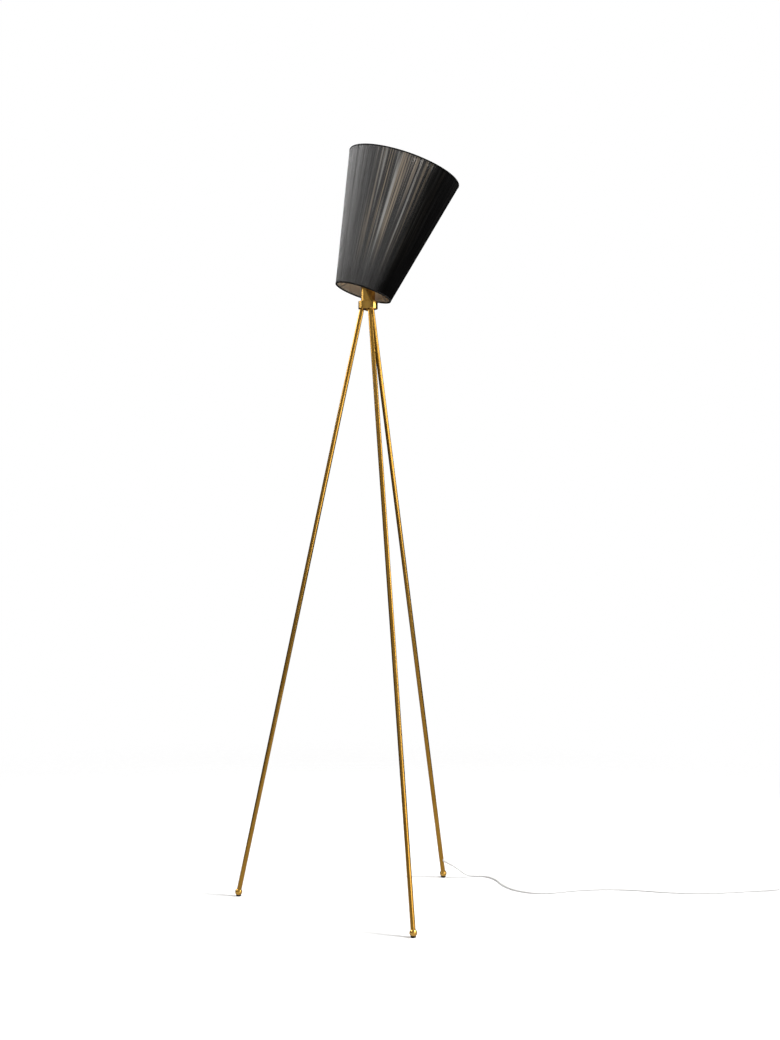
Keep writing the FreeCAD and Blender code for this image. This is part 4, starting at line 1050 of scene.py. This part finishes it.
def grooved_sleeve():
    """The cord's sleeve: a neck in the leg's wall, then a taper with rounded grooves round it."""
    start, neck_end, mouth = 3.5 * MM, LEG_R + 0.6 * MM, MOUTH_REACH * MM
    along = np.linspace(neck_end, mouth, 61)
    share = (along - along[0]) / (along[-1] - along[0])
    waves = np.sin(np.clip((share - 0.2) / 0.7, 0, 1) * GROOVES * np.pi) ** 2
    cut = GROOVE * np.clip(waves * 1.6 - 0.6, 0, 1)
    outer = ROOT_R + (MOUTH_R - ROOT_R) * share - cut * 0.6
    outer[-1] -= 0.15 * MM
    profile = [(NECK_R, start)] + list(zip(outer, along))
    bore_end = LEG_R + 3.0 * MM
    profile += [(BORE_R, mouth), (BORE_R, bore_end), (0.5 * BORE_R, bore_end),
                (0.5 * BORE_R, start)]
    return lathe(profile, at(*ROOT), OUT, 48)


surface("grooved_sleeve", grooved_sleeve(), "tripod", ("cord_sleeve",), sheath)

# %% [markdown]
# The bulb's cap is thin metal with its own screw thread rolled in it: a little under three
# millimetres to a turn, round at crest and root, and fading out at both ends. The wave in its
# radius runs round with the angle, which makes it one continuous thread instead of a stack of
# rings.

# %% Bulb cap
PITCH_OF_THREAD = 2.82 * MM
THREAD_DEPTH = 0.5 * MM
THREAD_FADE = 3 * MM


def threaded_cap():
    """radius = cap radius - depth * (half a wave of height / pitch - angle), faded at both ends."""
    low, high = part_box("bulb_cap")
    outer, tall = (high.x - low.x) / 2, high.z - low.z
    heights = np.linspace(0, tall, 73)
    inner = inner_radius("bulb_cap")
    bore = max(inner, outer - 0.5 * MM) if inner > 1 * MM else 0.3 * MM
    profile = [(outer, height) for height in heights] + [(bore, tall), (bore, 0)]

    def thread(angle, radius, height):
        fade = (np.clip(height / THREAD_FADE, 0, 1)
                * np.clip((tall - 4 * MM - height) / THREAD_FADE, 0, 1))
        wave = 0.5 - 0.5 * np.cos(2 * np.pi * height / PITCH_OF_THREAD - angle)
        return np.where(radius > outer - WALL_NEAR, THREAD_DEPTH * fade * wave, 0)

    return lathe(profile, (AXIS.x, AXIS.y, low.z), (0, 0, 1), 60, thread)


surface("threaded_bulb_cap", threaded_cap(), "tripod", ("bulb_cap",), nickel)

# %% [markdown]
# The plug is one soft moulding. In the exact model it is a straight-sided block; a real one has
# no flat side, because it has to come out of its mould and sit in a hand. Its cross-section is a
# superellipse whose width and height change along it, from the flat face at the pins through the
# widest place to the ribbed boot that holds the cord.

# %% Plug
def plug_moulding():
    """Superellipse sections along X: |y / width|^p + |z / height|^p = 1, with p from 4.5 to 2."""
    low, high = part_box("plug_body")
    middle_y, middle_z = (low.y + high.y) / 2, low.z + 6.85 * MM
    length = high.x - low.x
    stations = [0.0, 0.006, 0.02, 0.10, 0.25, 0.42, 0.50, 0.58, 0.64, 0.68, 0.72, 0.74, 0.77, 0.79,
                0.82, 0.84, 0.87, 0.89, 0.92, 0.94, 0.97, 1.0]
    widths = np.array([11.4, 12.4, 12.9, 13.1, 14.8, 16.9, 17.2, 15.9, 12.6, 8.4, 5.2, 4.3, 4.75,
                       4.1, 4.5, 3.9, 4.2, 3.6, 3.9, 3.4, 3.5, 3.1]) * MM
    heights = np.array([5.4, 6.2, 6.6, 6.8, 6.85, 6.8, 6.7, 6.4, 5.9, 5.4, 4.9, 4.3, 4.75, 4.1, 4.5,
                        3.9, 4.2, 3.6, 3.9, 3.4, 3.5, 3.1]) * MM
    fine = np.linspace(0, 1, 120)
    wide = np.interp(fine, stations, widths)[:, None]
    tall = np.interp(fine, stations, heights)[:, None]
    power = np.interp(fine, (0, 0.6, 0.72, 1), (4.5, 3.5, 2, 2))[:, None]
    angle = angles_round(64)
    reach = (np.abs(np.cos(angle)) ** power + np.abs(np.sin(angle)) ** power) ** (-1 / power)
    x = np.broadcast_to(low.x + fine[:, None] * length, reach.shape)
    return np.stack([x, middle_y + wide * reach * np.cos(angle),
                     middle_z + tall * reach * np.sin(angle)], axis=-1)


plug = surface("plug_moulding", plug_moulding(), "tripod", ("plug_body",),
               white_moulding, wrap_rows=False)

# %% [markdown]
# Everything on the lead is made now: the switch, the strap round the coil and the plug all go
# where it goes. It leaves the lamp at the sleeve's mouth, and its real length is the route's own.

# %% The last cell: an import of json
import json
